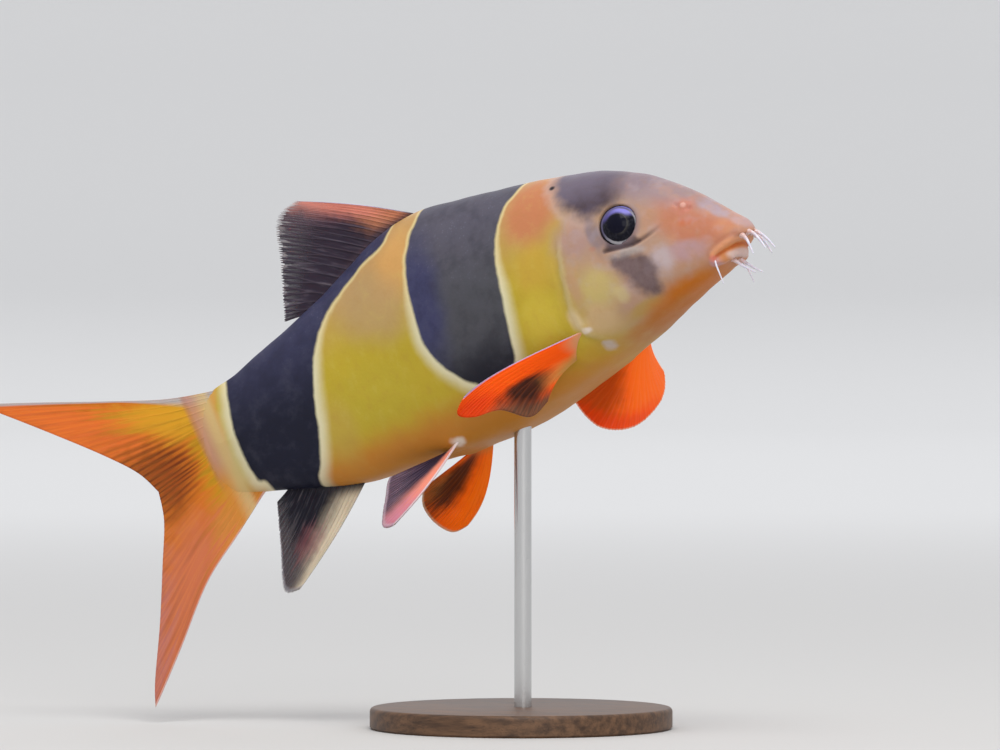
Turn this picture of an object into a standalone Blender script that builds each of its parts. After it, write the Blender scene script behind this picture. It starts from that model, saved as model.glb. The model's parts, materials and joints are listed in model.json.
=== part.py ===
"""A clown loach, life size, swimming with its snout raised, as a still museum model on a plain stand.

The fish is laid out straight first, in millimetres: station is the distance behind the snout tip,
across is towards the fish's left, and up is towards its back. place() then bends it sideways along
the spine, raises the snout and sets it over the stand, in metres.
"""

import math

import bmesh
import bpy
from mathutils import Matrix, Vector

MM = 0.001
GAP = 0.3

# The pose: where the snout tip is over the stand, and how the spine lies
SNOUT_TIP = Vector((51.0, -7.2, 91.2))
PITCH = math.radians(18.5)
HEAD_TURN = math.radians(8.0)
TAIL_TURN = math.radians(-20.0)
BEND_FROM, BEND_TO = 30.0, 135.0
SPINE_END, SPINE_STEP = 190.0, 0.5

# The body's sections: station, height of the back, depth of the belly, half width, and the height
# where it is widest
STANDARD_LENGTH = 122.0
SECTIONS = [
    (0.0, 2.4, -1.1, 2.4, 0.0),
    (1.5, 3.7, -1.5, 2.9, 0.0),
    (3.0, 4.9, -2.4, 3.4, 0.0),
    (6.0, 7.7, -3.9, 4.5, 0.2),
    (9.0, 10.5, -5.0, 5.6, 0.8),
    (14.5, 14.8, -6.5, 7.5, 2.0),
    (20.0, 18.2, -8.1, 9.0, 3.0),
    (28.0, 21.3, -10.7, 10.6, 3.0),
    (37.0, 23.5, -13.2, 11.8, 2.0),
    (48.0, 25.2, -16.0, 12.7, 1.5),
    (58.0, 26.6, -17.9, 12.8, 1.5),
    (67.0, 27.5, -18.4, 12.2, 1.5),
    (76.0, 26.2, -18.1, 11.0, 1.2),
    (85.0, 22.2, -17.6, 9.5, 0.5),
    (94.0, 17.7, -17.3, 7.9, -0.8),
    (102.0, 14.4, -15.6, 6.4, -1.0),
    (110.0, 11.1, -13.6, 4.9, -1.4),
    (116.0, 9.0, -12.6, 3.6, -1.8),
    (STANDARD_LENGTH, 8.4, -12.0, 2.4, -1.8),
]
BACK_ROUNDNESS, BELLY_ROUNDNESS = 1.95, 2.8
NOSE_ROUND, TAIL_ROUND, TAIL_EDGE_ROUND = 1.5, 7.0, 1.5
BODY_RINGS, BODY_SIDES = 44, 28

# Where the body is parted: the rear edge of the gill cover, and the front of the tail stalk
GILL_LINE = [
    (28.0, 32.0), (31.0, 20.0), (33.8, 9.0), (34.6, 1.5),
    (33.6, -4.5), (30.5, -9.5), (25.0, -13.0), (16.0, -17.0),
]
STALK_STATION = 108.5
SPLIT_REACH = 45.0

# The eye, its rim, the nostrils and the fold of the spine below the eye
EYE_STATION, EYE_HEIGHT = 22.0, 9.2
EYE_RADIUS, EYE_SUNK = 4.6, 3.1
RIM_RADIUS, RIM_THICKNESS = 3.75, 0.5
NOSTRILS = [(10.0, 7.5, 0.75), (11.8, 8.5, 0.6)]
NOSTRIL_LIP, NOSTRIL_DEPTH = 0.3, 0.7
SPINE_FOLD = [(25.8, 5.2), (22.4, 4.5), (18.8, 4.6), (14.6, 5.9)]
FOLD_RADIUS = 0.4

# The mouth: each lip is a roll from corner to corner, given as station, across and up
UPPER_LIP = [(7.2, 4.0, -1.9), (5.0, 3.8, -1.2), (2.8, 3.0, -0.7), (1.1, 1.3, -0.5)]
LOWER_LIP = [(7.4, 3.5, -3.1), (6.2, 3.0, -3.3), (4.9, 1.9, -3.3), (4.4, 0.6, -3.3)]
UPPER_LIP_RADIUS, LOWER_LIP_RADIUS = 0.85, 1.05

# The barbels: name, points from root to tip, and the root's radius
BARBELS = [
    ("barbel_snout_inner", [(0.6, 0.9, -0.4), (-0.4, 1.1, -1.2), (-1.4, 1.4, -2.5), (-2.3, 1.6, -4.0)], 0.55),
    ("barbel_snout_outer", [(1.5, 2.3, -0.6), (0.5, 2.8, -1.6), (0.0, 3.0, -2.9), (-0.4, 3.1, -4.4)], 0.5),
    ("barbel_mouth_corner", [(7.1, 3.8, -2.3), (6.9, 4.5, -3.7), (6.5, 4.9, -5.6), (6.2, 5.0, -7.8)], 0.5),
    ("barbel_chin", [(5.0, 1.1, -3.8), (4.0, 1.2, -4.9), (2.8, 1.2, -6.1), (1.4, 1.2, -7.3)], 0.45),
]
BARBEL_TIP = 0.3
BARBEL_STEPS = 7

# The fins: thickness at the ray, between the rays and at the tips
RAY_THICK, WEB_THICK, TIP_THICK = 1.15, 0.55, 0.45
ROOT_JOINED = 0.15
WEB_REACH = 0.965
FIN_STEPS = 6
ROOT_SUNK = 2.2
DORSAL_ROOTS = [(66.2, 28.2), (76.5, 26.2), (89.0, 20.2)]
DORSAL_TIPS = [(91.7, 37.9), (96.3, 35.6), (98.0, 27.0), (100.3, 16.6)]
ANAL_ROOTS = [(92.0, -17.6), (106.5, -14.5)]
ANAL_TIPS = [(111.9, -32.7), (114.8, -31.9), (113.2, -24.0), (111.4, -15.6)]
TAIL_ROOTS_UPPER = [(115.8, 8.0), (118.6, 6.6), (120.3, 3.2), (120.8, -2.0)]
TAIL_EDGE_UPPER = [(115.8, 8.0), (127.4, 9.6), (139.0, 12.9), (150.6, 16.5), (162.3, 20.0)]
TAIL_TIPS_UPPER = [
    (162.3, 20.0), (158.0, 16.7), (150.4, 10.7), (141.4, 3.3), (135.6, -2.2), (132.7, -6.5),
]
TAIL_ROOTS_LOWER = [(114.6, -12.2), (118.2, -10.6), (120.0, -7.0), (120.8, -2.6)]
TAIL_EDGE_LOWER = [(114.6, -12.2), (121.8, -18.9), (129.6, -26.2), (137.3, -36.8), (144.2, -46.0)]
TAIL_TIPS_LOWER = [
    (144.2, -46.0), (142.9, -41.0), (139.2, -31.0), (135.8, -20.7), (133.2, -12.6), (132.7, -7.3),
]
TAIL_WAVE = 1.6

# The paired fins: root at the front and rear as station and height, then for each side the rays from
# the first to the last as how far they go back, out and down, and the bow of the first ray and of the
# last the same way. The left pectoral is spread wide, and the right one is half folded back.
PECTORAL_ROOTS = [(34.2, -6.9), (38.2, -10.8)]
LEFT_PECTORAL_RAYS = [(9.8, 17.3, 6.8), (12.0, 17.7, 10.3), (15.1, 14.5, 12.2), (16.4, 8.8, 10.4), (15.2, 3.4, 7.2)]
LEFT_PECTORAL_BOW = [(0.0, -2.0, 0.2), (0.0, 0.3, 0.3)]
RIGHT_PECTORAL_RAYS = [
    (20.7, 16.9, 6.4), (21.3, 17.1, 8.2), (18.5, 14.8, 8.3), (13.9, 11.2, 7.2), (9.7, 7.6, 8.8), (6.4, 5.2, 6.6),
]
RIGHT_PECTORAL_BOW = [(3.5, 1.6, -0.4), (0.5, 0.5, -0.5)]
PELVIC_ROOTS = [(69.9, -16.7), (73.4, -17.7)]
LEFT_PELVIC_RAYS = [(13.8, 10.1, 12.5), (15.4, 9.1, 12.4), (15.9, 7.1, 9.8), (15.0, 4.6, 6.4), (12.6, 2.4, 3.4)]
LEFT_PELVIC_BOW = [(1.0, 3.0, 1.8), (0.0, 0.0, 0.0)]
RIGHT_PELVIC_RAYS = [(15.2, 9.4, 12.5), (16.6, 8.8, 11.5), (15.8, 7.1, 8.7), (14.3, 4.8, 4.9), (13.4, 2.6, 1.4)]
RIGHT_PELVIC_BOW = [(-0.9, 0.5, 0.5), (0.0, 0.0, 0.0)]

# The stand
BASE_RADIUS, BASE_THICKNESS, BASE_BEVEL = 28.0, 4.0, 0.8
ROD_RADIUS, ROD_STATION, ROD_TOP = 1.6, 60.0, 62.0


def hermite(before, start, end, after, t):
    """One value on the smooth curve from start to end, whose slopes come from the points beside them.

    Each argument but t is a pair of position and value.
    """
    span = end[0] - start[0]
    slope_start = (end[1] - before[1]) / (end[0] - before[0])
    slope_end = (after[1] - start[1]) / (after[0] - start[0])
    return (
        (2 * t**3 - 3 * t**2 + 1) * start[1]
        + (t**3 - 2 * t**2 + t) * span * slope_start
        + (3 * t**2 - 2 * t**3) * end[1]
        + (t**3 - t**2) * span * slope_end
    )


def section_at(station):
    """The body's sizes at a station, read smoothly from SECTIONS."""
    station = min(max(station, 0.0), STANDARD_LENGTH)
    last = len(SECTIONS) - 2
    i = next((k for k in range(last + 1) if station <= SECTIONS[k + 1][0]), last)
    rows = [SECTIONS[max(i - 1, 0)], SECTIONS[i], SECTIONS[i + 1], SECTIONS[min(i + 2, last + 1)]]
    t = (station - rows[1][0]) / (rows[2][0] - rows[1][0])
    return [hermite(*[(row[0], row[c]) for row in rows], t) for c in range(1, 5)]


def curve_through(points, share):
    """The point at a share of the way along a smooth curve through evenly counted points."""
    place_on = share * (len(points) - 1)
    i = min(int(place_on), len(points) - 2)
    numbered = [(k, points[min(max(k, 0), len(points) - 1)]) for k in range(i - 1, i + 3)]
    t = place_on - i
    return tuple(hermite(*[(k, p[c]) for k, p in numbered], t) for c in range(len(points[0])))


def spine_table():
    """The spine seen from above, from the snout tip to past the tail: a list of x, y and heading."""
    x = y = 0.0
    rows = []
    for step in range(int(SPINE_END / SPINE_STEP) + 1):
        share = (step * SPINE_STEP - BEND_FROM) / (BEND_TO - BEND_FROM)
        share = min(max(share, 0.0), 1.0)
        turn = HEAD_TURN + (TAIL_TURN - HEAD_TURN) * share * share * (3 - 2 * share)
        if rows:
            middle = (turn + rows[-1][2]) / 2
            x -= math.cos(middle) * SPINE_STEP
            y += math.sin(middle) * SPINE_STEP
        rows.append((x, y, turn))
    return rows


SPINE = spine_table()


def place(point):
    """The world position, in metres, of a point of the straight fish."""
    station, across, up = point
    step = min(max(int(station / SPINE_STEP), 0), len(SPINE) - 2)
    x, y, turn = SPINE[step]
    turn += (SPINE[step + 1][2] - turn) * (station / SPINE_STEP - step)
    beyond = station - step * SPINE_STEP
    x += -math.cos(turn) * beyond + across * math.sin(turn)
    y += math.sin(turn) * beyond + across * math.cos(turn)
    lifted = Vector((
        x * math.cos(PITCH) - up * math.sin(PITCH),
        y,
        x * math.sin(PITCH) + up * math.cos(PITCH),
    ))
    return (SNOUT_TIP + lifted) * MM


def end_rounding(station):
    """How far the section has shrunk towards the snout tip or the tail, in its height and its width."""
    if station < NOSE_ROUND:
        share = math.sqrt(max(1 - (1 - station / NOSE_ROUND) ** 2, 0.0))
        return share, share
    near_tail = STANDARD_LENGTH - station
    tall = 1 - max(1 - near_tail / TAIL_ROUND, 0.0) ** 2.6
    thin = 1 - max(1 - near_tail / TAIL_EDGE_ROUND, 0.0) ** 2
    return math.sqrt(max(tall, 0.0)), math.sqrt(max(thin, 0.0))


def skin_point(station, angle, swell=0.0):
    """A point of the skin: angle 0 is the fish's left side and a quarter turn is its back."""
    top, bottom, half_width, widest = section_at(station)
    tall, thin = end_rounding(station)
    c, s = math.cos(angle), math.sin(angle)
    roundness = BACK_ROUNDNESS if s > 0 else BELLY_ROUNDNESS
    height = (top - widest if s > 0 else widest - bottom) * tall + swell
    across = math.copysign(abs(c) ** (2 / roundness), c) * (half_width * thin * max(tall, 0.6) + swell)
    up = widest + math.copysign(abs(s) ** (2 / roundness), s) * height
    end = (STANDARD_LENGTH / 2 + swell) / (STANDARD_LENGTH / 2)
    stretched = (station - STANDARD_LENGTH / 2) * end + STANDARD_LENGTH / 2
    return stretched, across, up


def side_of_body(station, up, side=1):
    """The point of the skin at a station and height, on the left side, or on the right if side is -1."""
    top, bottom, half_width, widest = section_at(station)
    roundness = BACK_ROUNDNESS if up > widest else BELLY_ROUNDNESS
    height = top - widest if up > widest else widest - bottom
    share = min(abs(up - widest) / height, 1.0)
    return Vector((station, side * half_width * (1 - share**roundness) ** (1 / roundness), up))


def outward(station, up, side=1):
    """The direction straight out of the skin there, for the straight fish."""
    step = 0.2
    along = side_of_body(station + step, up, side) - side_of_body(station - step, up, side)
    rise = side_of_body(station, up + step, side) - side_of_body(station, up - step, side)
    normal = along.cross(rise).normalized()
    return normal if normal.y * side > 0 else -normal


def world_turn(point, direction):
    """A rotation whose Z axis is the direction, given for the straight fish at that point."""
    moved = place(Vector(point) + Vector(direction)) - place(point)
    return moved.to_track_quat("Z", "Y").to_matrix().to_4x4()


def material(name, colour, roughness, metallic=0.0):
    made = bpy.data.materials.new(name)
    made.use_nodes = True
    shader = made.node_tree.nodes["Principled BSDF"]
    shader.inputs["Base Color"].default_value = (*colour, 1.0)
    shader.inputs["Roughness"].default_value = roughness
    shader.inputs["Metallic"].default_value = metallic
    return made


def object_from(bm, name):
    """A new object in the scene from a bmesh, with its faces turned outwards."""
    bmesh.ops.recalc_face_normals(bm, faces=bm.faces)
    if bm.calc_volume(signed=True) < 0:
        bmesh.ops.reverse_faces(bm, faces=bm.faces)
    mesh = bpy.data.meshes.new(name)
    bm.to_mesh(mesh)
    bm.free()
    made = bpy.data.objects.new(name, mesh)
    bpy.context.scene.collection.objects.link(made)
    return made


def settle(obj):
    """Applies the object's modifiers, or turns a curve into a closed mesh."""
    bpy.context.view_layer.update()
    evaluated = obj.evaluated_get(bpy.context.evaluated_depsgraph_get())
    mesh = bpy.data.meshes.new_from_object(evaluated)
    bm = bmesh.new()
    bm.from_mesh(mesh)
    bmesh.ops.remove_doubles(bm, verts=bm.verts, dist=1e-7)
    bm.to_mesh(mesh)
    bm.free()
    name = obj.name
    matrix = obj.matrix_world.copy()
    bpy.data.objects.remove(obj)
    made = bpy.data.objects.new(name, mesh)
    made.matrix_world = matrix
    bpy.context.scene.collection.objects.link(made)
    return made


def combine(obj, operation, others, keep_others=False):
    """Joins, cuts or crosses obj with the others in one Boolean, and returns the applied result."""
    group = bpy.data.collections.new("operands")
    bpy.context.scene.collection.children.link(group)
    for other in others:
        group.objects.link(other)
    modifier = obj.modifiers.new("combine", "BOOLEAN")
    modifier.operation = operation
    modifier.operand_type = "COLLECTION"
    modifier.collection = group
    modifier.solver = "EXACT"
    made = settle(obj)
    bpy.data.collections.remove(group)
    for other in others:
        if not keep_others:
            bpy.data.objects.remove(other)
    return made


def loose_bodies(obj):
    """The closed surfaces of an object as lists of its vertices' indices, largest box first."""
    bm = bmesh.new()
    bm.from_mesh(obj.data)
    unseen = set(bm.verts)
    bodies = []
    while unseen:
        reached = [unseen.pop()]
        for vert in reached:
            for edge in vert.link_edges:
                other = edge.other_vert(vert)
                if other in unseen:
                    unseen.remove(other)
                    reached.append(other)
        bodies.append(reached)
    found = []
    for body in bodies:
        spans = [max(v.co[a] for v in body) - min(v.co[a] for v in body) for a in range(3)]
        found.append((spans[0] * spans[1] * spans[2], [v.index for v in body]))
    bm.free()
    return [indices for _, indices in sorted(found, key=lambda pair: -pair[0])]


def only_body(obj, indices, name):
    """A new object of those vertices alone."""
    bm = bmesh.new()
    bm.from_mesh(obj.data)
    keep = set(indices)
    bmesh.ops.delete(bm, geom=[v for v in bm.verts if v.index not in keep], context="VERTS")
    return object_from(bm, name)


def largest_body(obj):
    """Keeps only the object's largest closed surface."""
    name = obj.name
    bodies = loose_bodies(obj)
    obj.name = "whole"
    made = only_body(obj, bodies[0], name)
    bpy.data.objects.remove(obj)
    return made


def body_mesh(name, swell=0.0):
    """The whole fish without fins, as one closed skin, or larger all round by the swell."""
    bm = bmesh.new()
    bmesh.ops.create_uvsphere(bm, u_segments=BODY_SIDES, v_segments=BODY_RINGS, radius=1.0)
    for vert in bm.verts:
        share = math.acos(max(-1.0, min(1.0, vert.co.z))) / math.pi
        station = STANDARD_LENGTH * (1 - math.cos(share * math.pi)) / 2
        angle = math.atan2(vert.co.y, vert.co.x)
        vert.co = place(skin_point(station, angle, swell))
    return object_from(bm, name)


def wall(name, line, half_thickness):
    """A thin curved wall across the fish, along a line of stations and heights."""
    steps = 32
    points = [Vector(curve_through(line, k / steps)) for k in range(steps + 1)]
    outline = []
    for side in (1, -1):
        for k, point in enumerate(points):
            along = points[min(k + 1, steps)] - points[max(k - 1, 0)]
            normal = Vector((-along.y, along.x)).normalized()
            outline.append((side, k, point + normal * side * half_thickness))
    bm = bmesh.new()
    corners = {
        (side, k, across): bm.verts.new(place((p.x, across * SPLIT_REACH, p.y)))
        for side, k, p in outline for across in (-1, 1)
    }
    for k in range(steps):
        for side in (1, -1):
            keys = [(side, k, -1), (side, k + 1, -1), (side, k + 1, 1), (side, k, 1)]
            bm.faces.new([corners[key] for key in keys])
        for across in (1, -1):
            keys = [(1, k, across), (1, k + 1, across), (-1, k + 1, across), (-1, k, across)]
            bm.faces.new([corners[key] for key in keys])
    for k in (0, steps):
        bm.faces.new([corners[1, k, -1], corners[1, k, 1], corners[-1, k, 1], corners[-1, k, -1]])
    return object_from(bm, name)


def parted_body():
    """The body cut at the gill opening and at the front of the tail stalk: head, trunk and tail stalk."""
    whole = body_mesh("body")
    gill_cut = wall("gill_cut", GILL_LINE, GAP / 2)
    stalk_line = [(STALK_STATION, SPLIT_REACH), (STALK_STATION, 0.0), (STALK_STATION, -SPLIT_REACH)]
    stalk_cut = wall("stalk_cut", stalk_line, GAP / 2)
    whole = combine(whole, "DIFFERENCE", [gill_cut, stalk_cut])
    bodies = loose_bodies(whole)[:3]
    bodies.sort(key=lambda indices: -max(whole.data.vertices[i].co.x for i in indices))
    parts = [only_body(whole, body, name) for body, name in zip(bodies, ("head", "trunk", "tail_stalk"))]
    bpy.data.objects.remove(whole)
    return parts


def ball(name, centre, radius, segments=20, rings=14):
    bm = bmesh.new()
    bmesh.ops.create_uvsphere(bm, u_segments=segments, v_segments=rings, radius=radius * MM)
    bmesh.ops.translate(bm, verts=bm.verts, vec=place(centre))
    return object_from(bm, name)


def ring(name, centre, direction, radius, thickness, segments=20, sides=6):
    """A round ring lying on the skin, turned to face out of it."""
    bm = bmesh.new()
    circle = bmesh.ops.create_circle(bm, segments=sides, radius=thickness * MM)["verts"]
    stand_up = Matrix.Rotation(math.pi / 2, 4, "X")
    bmesh.ops.transform(bm, matrix=Matrix.Translation((radius * MM, 0, 0)) @ stand_up, verts=circle)
    bmesh.ops.spin(bm, geom=bm.edges[:], axis=(0, 0, 1), cent=(0, 0, 0), angle=2 * math.pi,
                   steps=segments, use_merge=True, use_duplicate=False)
    bmesh.ops.remove_doubles(bm, verts=bm.verts, dist=1e-6)
    turn = Matrix.Translation(place(centre)) @ world_turn(centre, direction)
    bmesh.ops.transform(bm, matrix=turn, verts=bm.verts)
    return object_from(bm, name)


def tube(name, points, radii, sides=3):
    """A round tube through points of the straight fish, with a radius at each."""
    data = bpy.data.curves.new(name, "CURVE")
    data.dimensions = "3D"
    data.bevel_depth = MM
    data.bevel_resolution = sides
    data.use_fill_caps = True
    spline = data.splines.new("POLY")
    spline.points.add(len(points) - 1)
    for spot, point, radius in zip(spline.points, points, radii):
        spot.co = (*place(point), 1.0)
        spot.radius = radius
    made = bpy.data.objects.new(name, data)
    bpy.context.scene.collection.objects.link(made)
    made = settle(made)
    bm = bmesh.new()
    bm.from_mesh(made.data)
    bpy.data.objects.remove(made)
    return object_from(bm, name)


def lip(name, half, radius, steps=16, swell=0.0):
    """A lip rolled from one corner of the mouth round the front to the other corner."""
    mirrored = [(s, -a, u) for s, a, u in reversed(half)]
    points = [curve_through(half + mirrored, k / steps) for k in range(steps + 1)]
    shares = [math.sin(math.pi * (0.12 + 0.76 * k / steps)) ** 0.5 for k in range(steps + 1)]
    return tube(name, points, [radius * share + swell for share in shares])


def skin_copy(name="skin_copy"):
    """The body grown by the gap, which cuts the root of whatever grows from the skin."""
    return body_mesh(name, GAP * 1.15)


def head_details(head):
    """Adds eye rims and nostril lips to the head, then cuts sockets, nostrils, mouth and the eye fold."""
    raised, cut = [], []
    for side in (1, -1):
        spot = side_of_body(EYE_STATION, EYE_HEIGHT, side)
        out = outward(EYE_STATION, EYE_HEIGHT, side)
        raised.append(ring("rim", spot, out, RIM_RADIUS, RIM_THICKNESS))
        cut.append(ball("socket", spot - out * EYE_SUNK, EYE_RADIUS + GAP))
        for station, up, radius in NOSTRILS:
            hole = side_of_body(station, up, side)
            out = outward(station, up, side)
            raised.append(ring("nostril_lip", hole + out * 0.1, out, radius, NOSTRIL_LIP, 10, 5))
            cut.append(ball("nostril", hole + out * 0.1, NOSTRIL_DEPTH * radius, 8, 6))
        fold = [curve_through(SPINE_FOLD, k / 8) for k in range(9)]
        fold = [side_of_body(station, up, side) for station, up in fold]
        cut.append(tube("fold", fold, [FOLD_RADIUS * math.sin(math.pi * (0.1 + 0.08 * k)) for k in range(9)], 2))
    head = combine(head, "UNION", raised)
    head = combine(head, "DIFFERENCE", cut)
    upper = lip("upper", UPPER_LIP, UPPER_LIP_RADIUS, swell=GAP)
    lower = lip("lower", LOWER_LIP, LOWER_LIP_RADIUS, swell=GAP)
    head = combine(head, "DIFFERENCE", [upper, lower])
    return largest_body(head)


def eyes():
    made = []
    for side, name in ((1, "eye_left"), (-1, "eye_right")):
        spot = side_of_body(EYE_STATION, EYE_HEIGHT, side)
        out = outward(EYE_STATION, EYE_HEIGHT, side)
        made.append(ball(name, spot - out * EYE_SUNK, EYE_RADIUS, 20, 12))
    return made


def lips():
    """The two lips, with a thin line of the mouth between them."""
    upper = lip("lip_upper", UPPER_LIP, UPPER_LIP_RADIUS)
    lower = lip("lip_lower", LOWER_LIP, LOWER_LIP_RADIUS)
    grown = lip("grown_upper", UPPER_LIP, UPPER_LIP_RADIUS, swell=GAP)
    lower = largest_body(combine(lower, "DIFFERENCE", [grown]))
    return [upper, lower]


def barbels():
    made = []
    for base_name, points, radius in BARBELS:
        for side, word in ((1, "left"), (-1, "right")):
            path = [curve_through(points, k / BARBEL_STEPS) for k in range(BARBEL_STEPS + 1)]
            path = [(s, a * side, u) for s, a, u in path]
            shares = [k / BARBEL_STEPS for k in range(BARBEL_STEPS + 1)]
            radii = [radius + (BARBEL_TIP * radius - radius) * share for share in shares]
            barbel = tube(f"{base_name}_{word}", path, radii, 2)
            cut = [
                skin_copy(),
                lip("grown_upper", UPPER_LIP, UPPER_LIP_RADIUS, swell=GAP),
                lip("grown_lower", LOWER_LIP, LOWER_LIP_RADIUS, swell=GAP),
            ]
            made.append(largest_body(combine(barbel, "DIFFERENCE", cut)))
    return made


def fin(name, ray_at, count, cutters):
    """A fin of the straight fish, from a function of a share across it and a reach out along it.

    The rays are ridges on both faces of one sheet, with two thin columns of web between each pair. They
    start together at the root, where the sheet is as thick as they are, and reach a little past the web.
    """
    columns = 3 * (count - 1)
    bm = bmesh.new()
    bmesh.ops.create_grid(bm, x_segments=columns, y_segments=FIN_STEPS, size=0.5)
    bmesh.ops.triangulate(bm, faces=bm.faces[:], quad_method="FIXED")
    weights = bm.verts.layers.deform.verify()
    for vert in bm.verts:
        column = round((vert.co.x + 0.5) * columns)
        on_ray = column % 3 == 0
        reach = (vert.co.y + 0.5) * (1.0 if on_ray else WEB_REACH)
        joined = max(0.0, 1 - reach / ROOT_JOINED)
        at_root = RAY_THICK if on_ray else WEB_THICK + (RAY_THICK - WEB_THICK) * joined
        vert.co = place(ray_at(column / columns, reach))
        vert[weights][0] = (at_root * (1 - reach) + TIP_THICK * reach) / RAY_THICK
    sheet = object_from(bm, name)
    sheet.vertex_groups.new(name="thickness")
    solid = sheet.modifiers.new("thickness", "SOLIDIFY")
    solid.thickness = RAY_THICK * MM
    solid.offset = 0.0
    solid.vertex_group = "thickness"
    solid.thickness_vertex_group = 0.0
    sheet = settle(sheet)
    return largest_body(combine(sheet, "DIFFERENCE", cutters, keep_others=True))


def flat_point(pair, across=0.0):
    return Vector((pair[0], across, pair[1]))


def middle_fin(name, roots, tips, count, sink, cutters):
    """A fin on the middle line of the back or belly, whose roots start sunk in the body."""
    def ray_at(share, reach):
        root = flat_point(curve_through(roots, share)) + Vector((0.0, 0.0, sink))
        tip = flat_point(curve_through(tips, share ** 1.25))
        bow = Vector((0.0, 0.35 * math.sin(math.pi * share), -0.012 * sink * (tip - root).length))
        return root.lerp(tip, reach) + bow * math.sin(math.pi * reach)

    return fin(name, ray_at, count, cutters)


def tail_lobe(name, roots, edge, tips, side, count, cutters):
    """One lobe of the tail fin. Its outer ray follows the edge, and the others straighten to the fork."""
    def ray_at(share, reach):
        root = flat_point(curve_through(roots, share))
        tip = flat_point(curve_through(tips, share ** 0.8))
        straight = flat_point(edge[0]).lerp(flat_point(edge[-1]), reach)
        curl = flat_point(curve_through(edge, reach)) - straight
        shorter = (tip - root).length / 45.0
        wave = TAIL_WAVE * side * (shorter * reach) ** 2
        return root.lerp(tip, reach) + curl * shorter * (1 - share) + Vector((0.0, wave, 0.0))

    return fin(name, ray_at, count, cutters)


def paired_fin(name, roots, spread, bows, count, side, cutters):
    """A pectoral or pelvic fin: its rays fan from a short root line on the skin, and bend as they go out.

    Inside the body the rays turn halfway to the middle ray's direction, so that they don't crowd there.
    """
    middle = curve_through(spread, 0.5)
    inwards = Vector((-middle[0], -middle[1] * side, middle[2])).normalized()

    def ray_at(share, reach):
        station, up = curve_through(roots, share)
        back, out, down = curve_through(spread, share)
        direction = Vector((back, out * side, -down))
        bow = Vector(bows[0]).lerp(Vector(bows[1]), share)
        sunk = ROOT_SUNK / direction.length
        along = reach * (1 + sunk) - sunk
        bent = Vector((bow.x, bow.y * side, -bow.z)) * math.sin(math.pi * max(along, 0.0))
        inside = inwards.lerp(-direction.normalized(), 0.5) * max(-along, 0.0) * direction.length
        return side_of_body(station, up, side) + direction * max(along, 0.0) + bent + inside

    return fin(name, ray_at, count, cutters)


def fins():
    cutters = [skin_copy()]
    made = [
        middle_fin("dorsal_fin", DORSAL_ROOTS, DORSAL_TIPS, 11, -ROOT_SUNK, cutters),
        middle_fin("anal_fin", ANAL_ROOTS, ANAL_TIPS, 8, ROOT_SUNK, cutters),
        tail_lobe("tail_fin_upper", TAIL_ROOTS_UPPER, TAIL_EDGE_UPPER, TAIL_TIPS_UPPER, 1, 10, cutters),
        tail_lobe("tail_fin_lower", TAIL_ROOTS_LOWER, TAIL_EDGE_LOWER, TAIL_TIPS_LOWER, -1, 10, cutters),
    ]
    paired = [
        ("pectoral_fin_left", PECTORAL_ROOTS, LEFT_PECTORAL_RAYS, LEFT_PECTORAL_BOW, 10, 1),
        ("pectoral_fin_right", PECTORAL_ROOTS, RIGHT_PECTORAL_RAYS, RIGHT_PECTORAL_BOW, 10, -1),
        ("pelvic_fin_left", PELVIC_ROOTS, LEFT_PELVIC_RAYS, LEFT_PELVIC_BOW, 8, 1),
        ("pelvic_fin_right", PELVIC_ROOTS, RIGHT_PELVIC_RAYS, RIGHT_PELVIC_BOW, 8, -1),
    ]
    made += [paired_fin(*sizes, cutters) for sizes in paired]
    bpy.data.objects.remove(cutters[0])
    return made


def stand():
    """A round base with a bevelled rim, and one rod up to the belly."""
    bm = bmesh.new()
    bmesh.ops.create_cone(bm, cap_ends=True, segments=48, radius1=BASE_RADIUS * MM, radius2=BASE_RADIUS * MM,
                          depth=BASE_THICKNESS * MM)
    bmesh.ops.translate(bm, verts=bm.verts, vec=(0.0, 0.0, BASE_THICKNESS * MM / 2))
    rim = [e for e in bm.edges if all(v.co.z > BASE_THICKNESS * MM * 0.9 for v in e.verts)]
    bmesh.ops.bevel(bm, geom=rim, offset=BASE_BEVEL * MM, segments=2, affect="EDGES", profile=0.5)
    base = object_from(bm, "stand_base")
    foot = place((ROD_STATION, 0.0, section_at(ROD_STATION)[1]))
    bm = bmesh.new()
    bottom = BASE_THICKNESS + GAP
    bmesh.ops.create_cone(bm, cap_ends=True, segments=20, radius1=ROD_RADIUS * MM, radius2=ROD_RADIUS * MM,
                          depth=(ROD_TOP - bottom) * MM)
    bmesh.ops.translate(bm, verts=bm.verts, vec=(foot.x, foot.y, (ROD_TOP + bottom) * MM / 2))
    rod = object_from(bm, "stand_rod")
    rod = largest_body(combine(rod, "DIFFERENCE", [skin_copy()]))
    return [base, rod]


def paint(objects, made):
    for obj in objects:
        obj.data.materials.clear()
        obj.data.materials.append(made)
        obj.data.shade_smooth()
        obj.data.set_sharp_from_angle(angle=math.radians(40))


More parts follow.
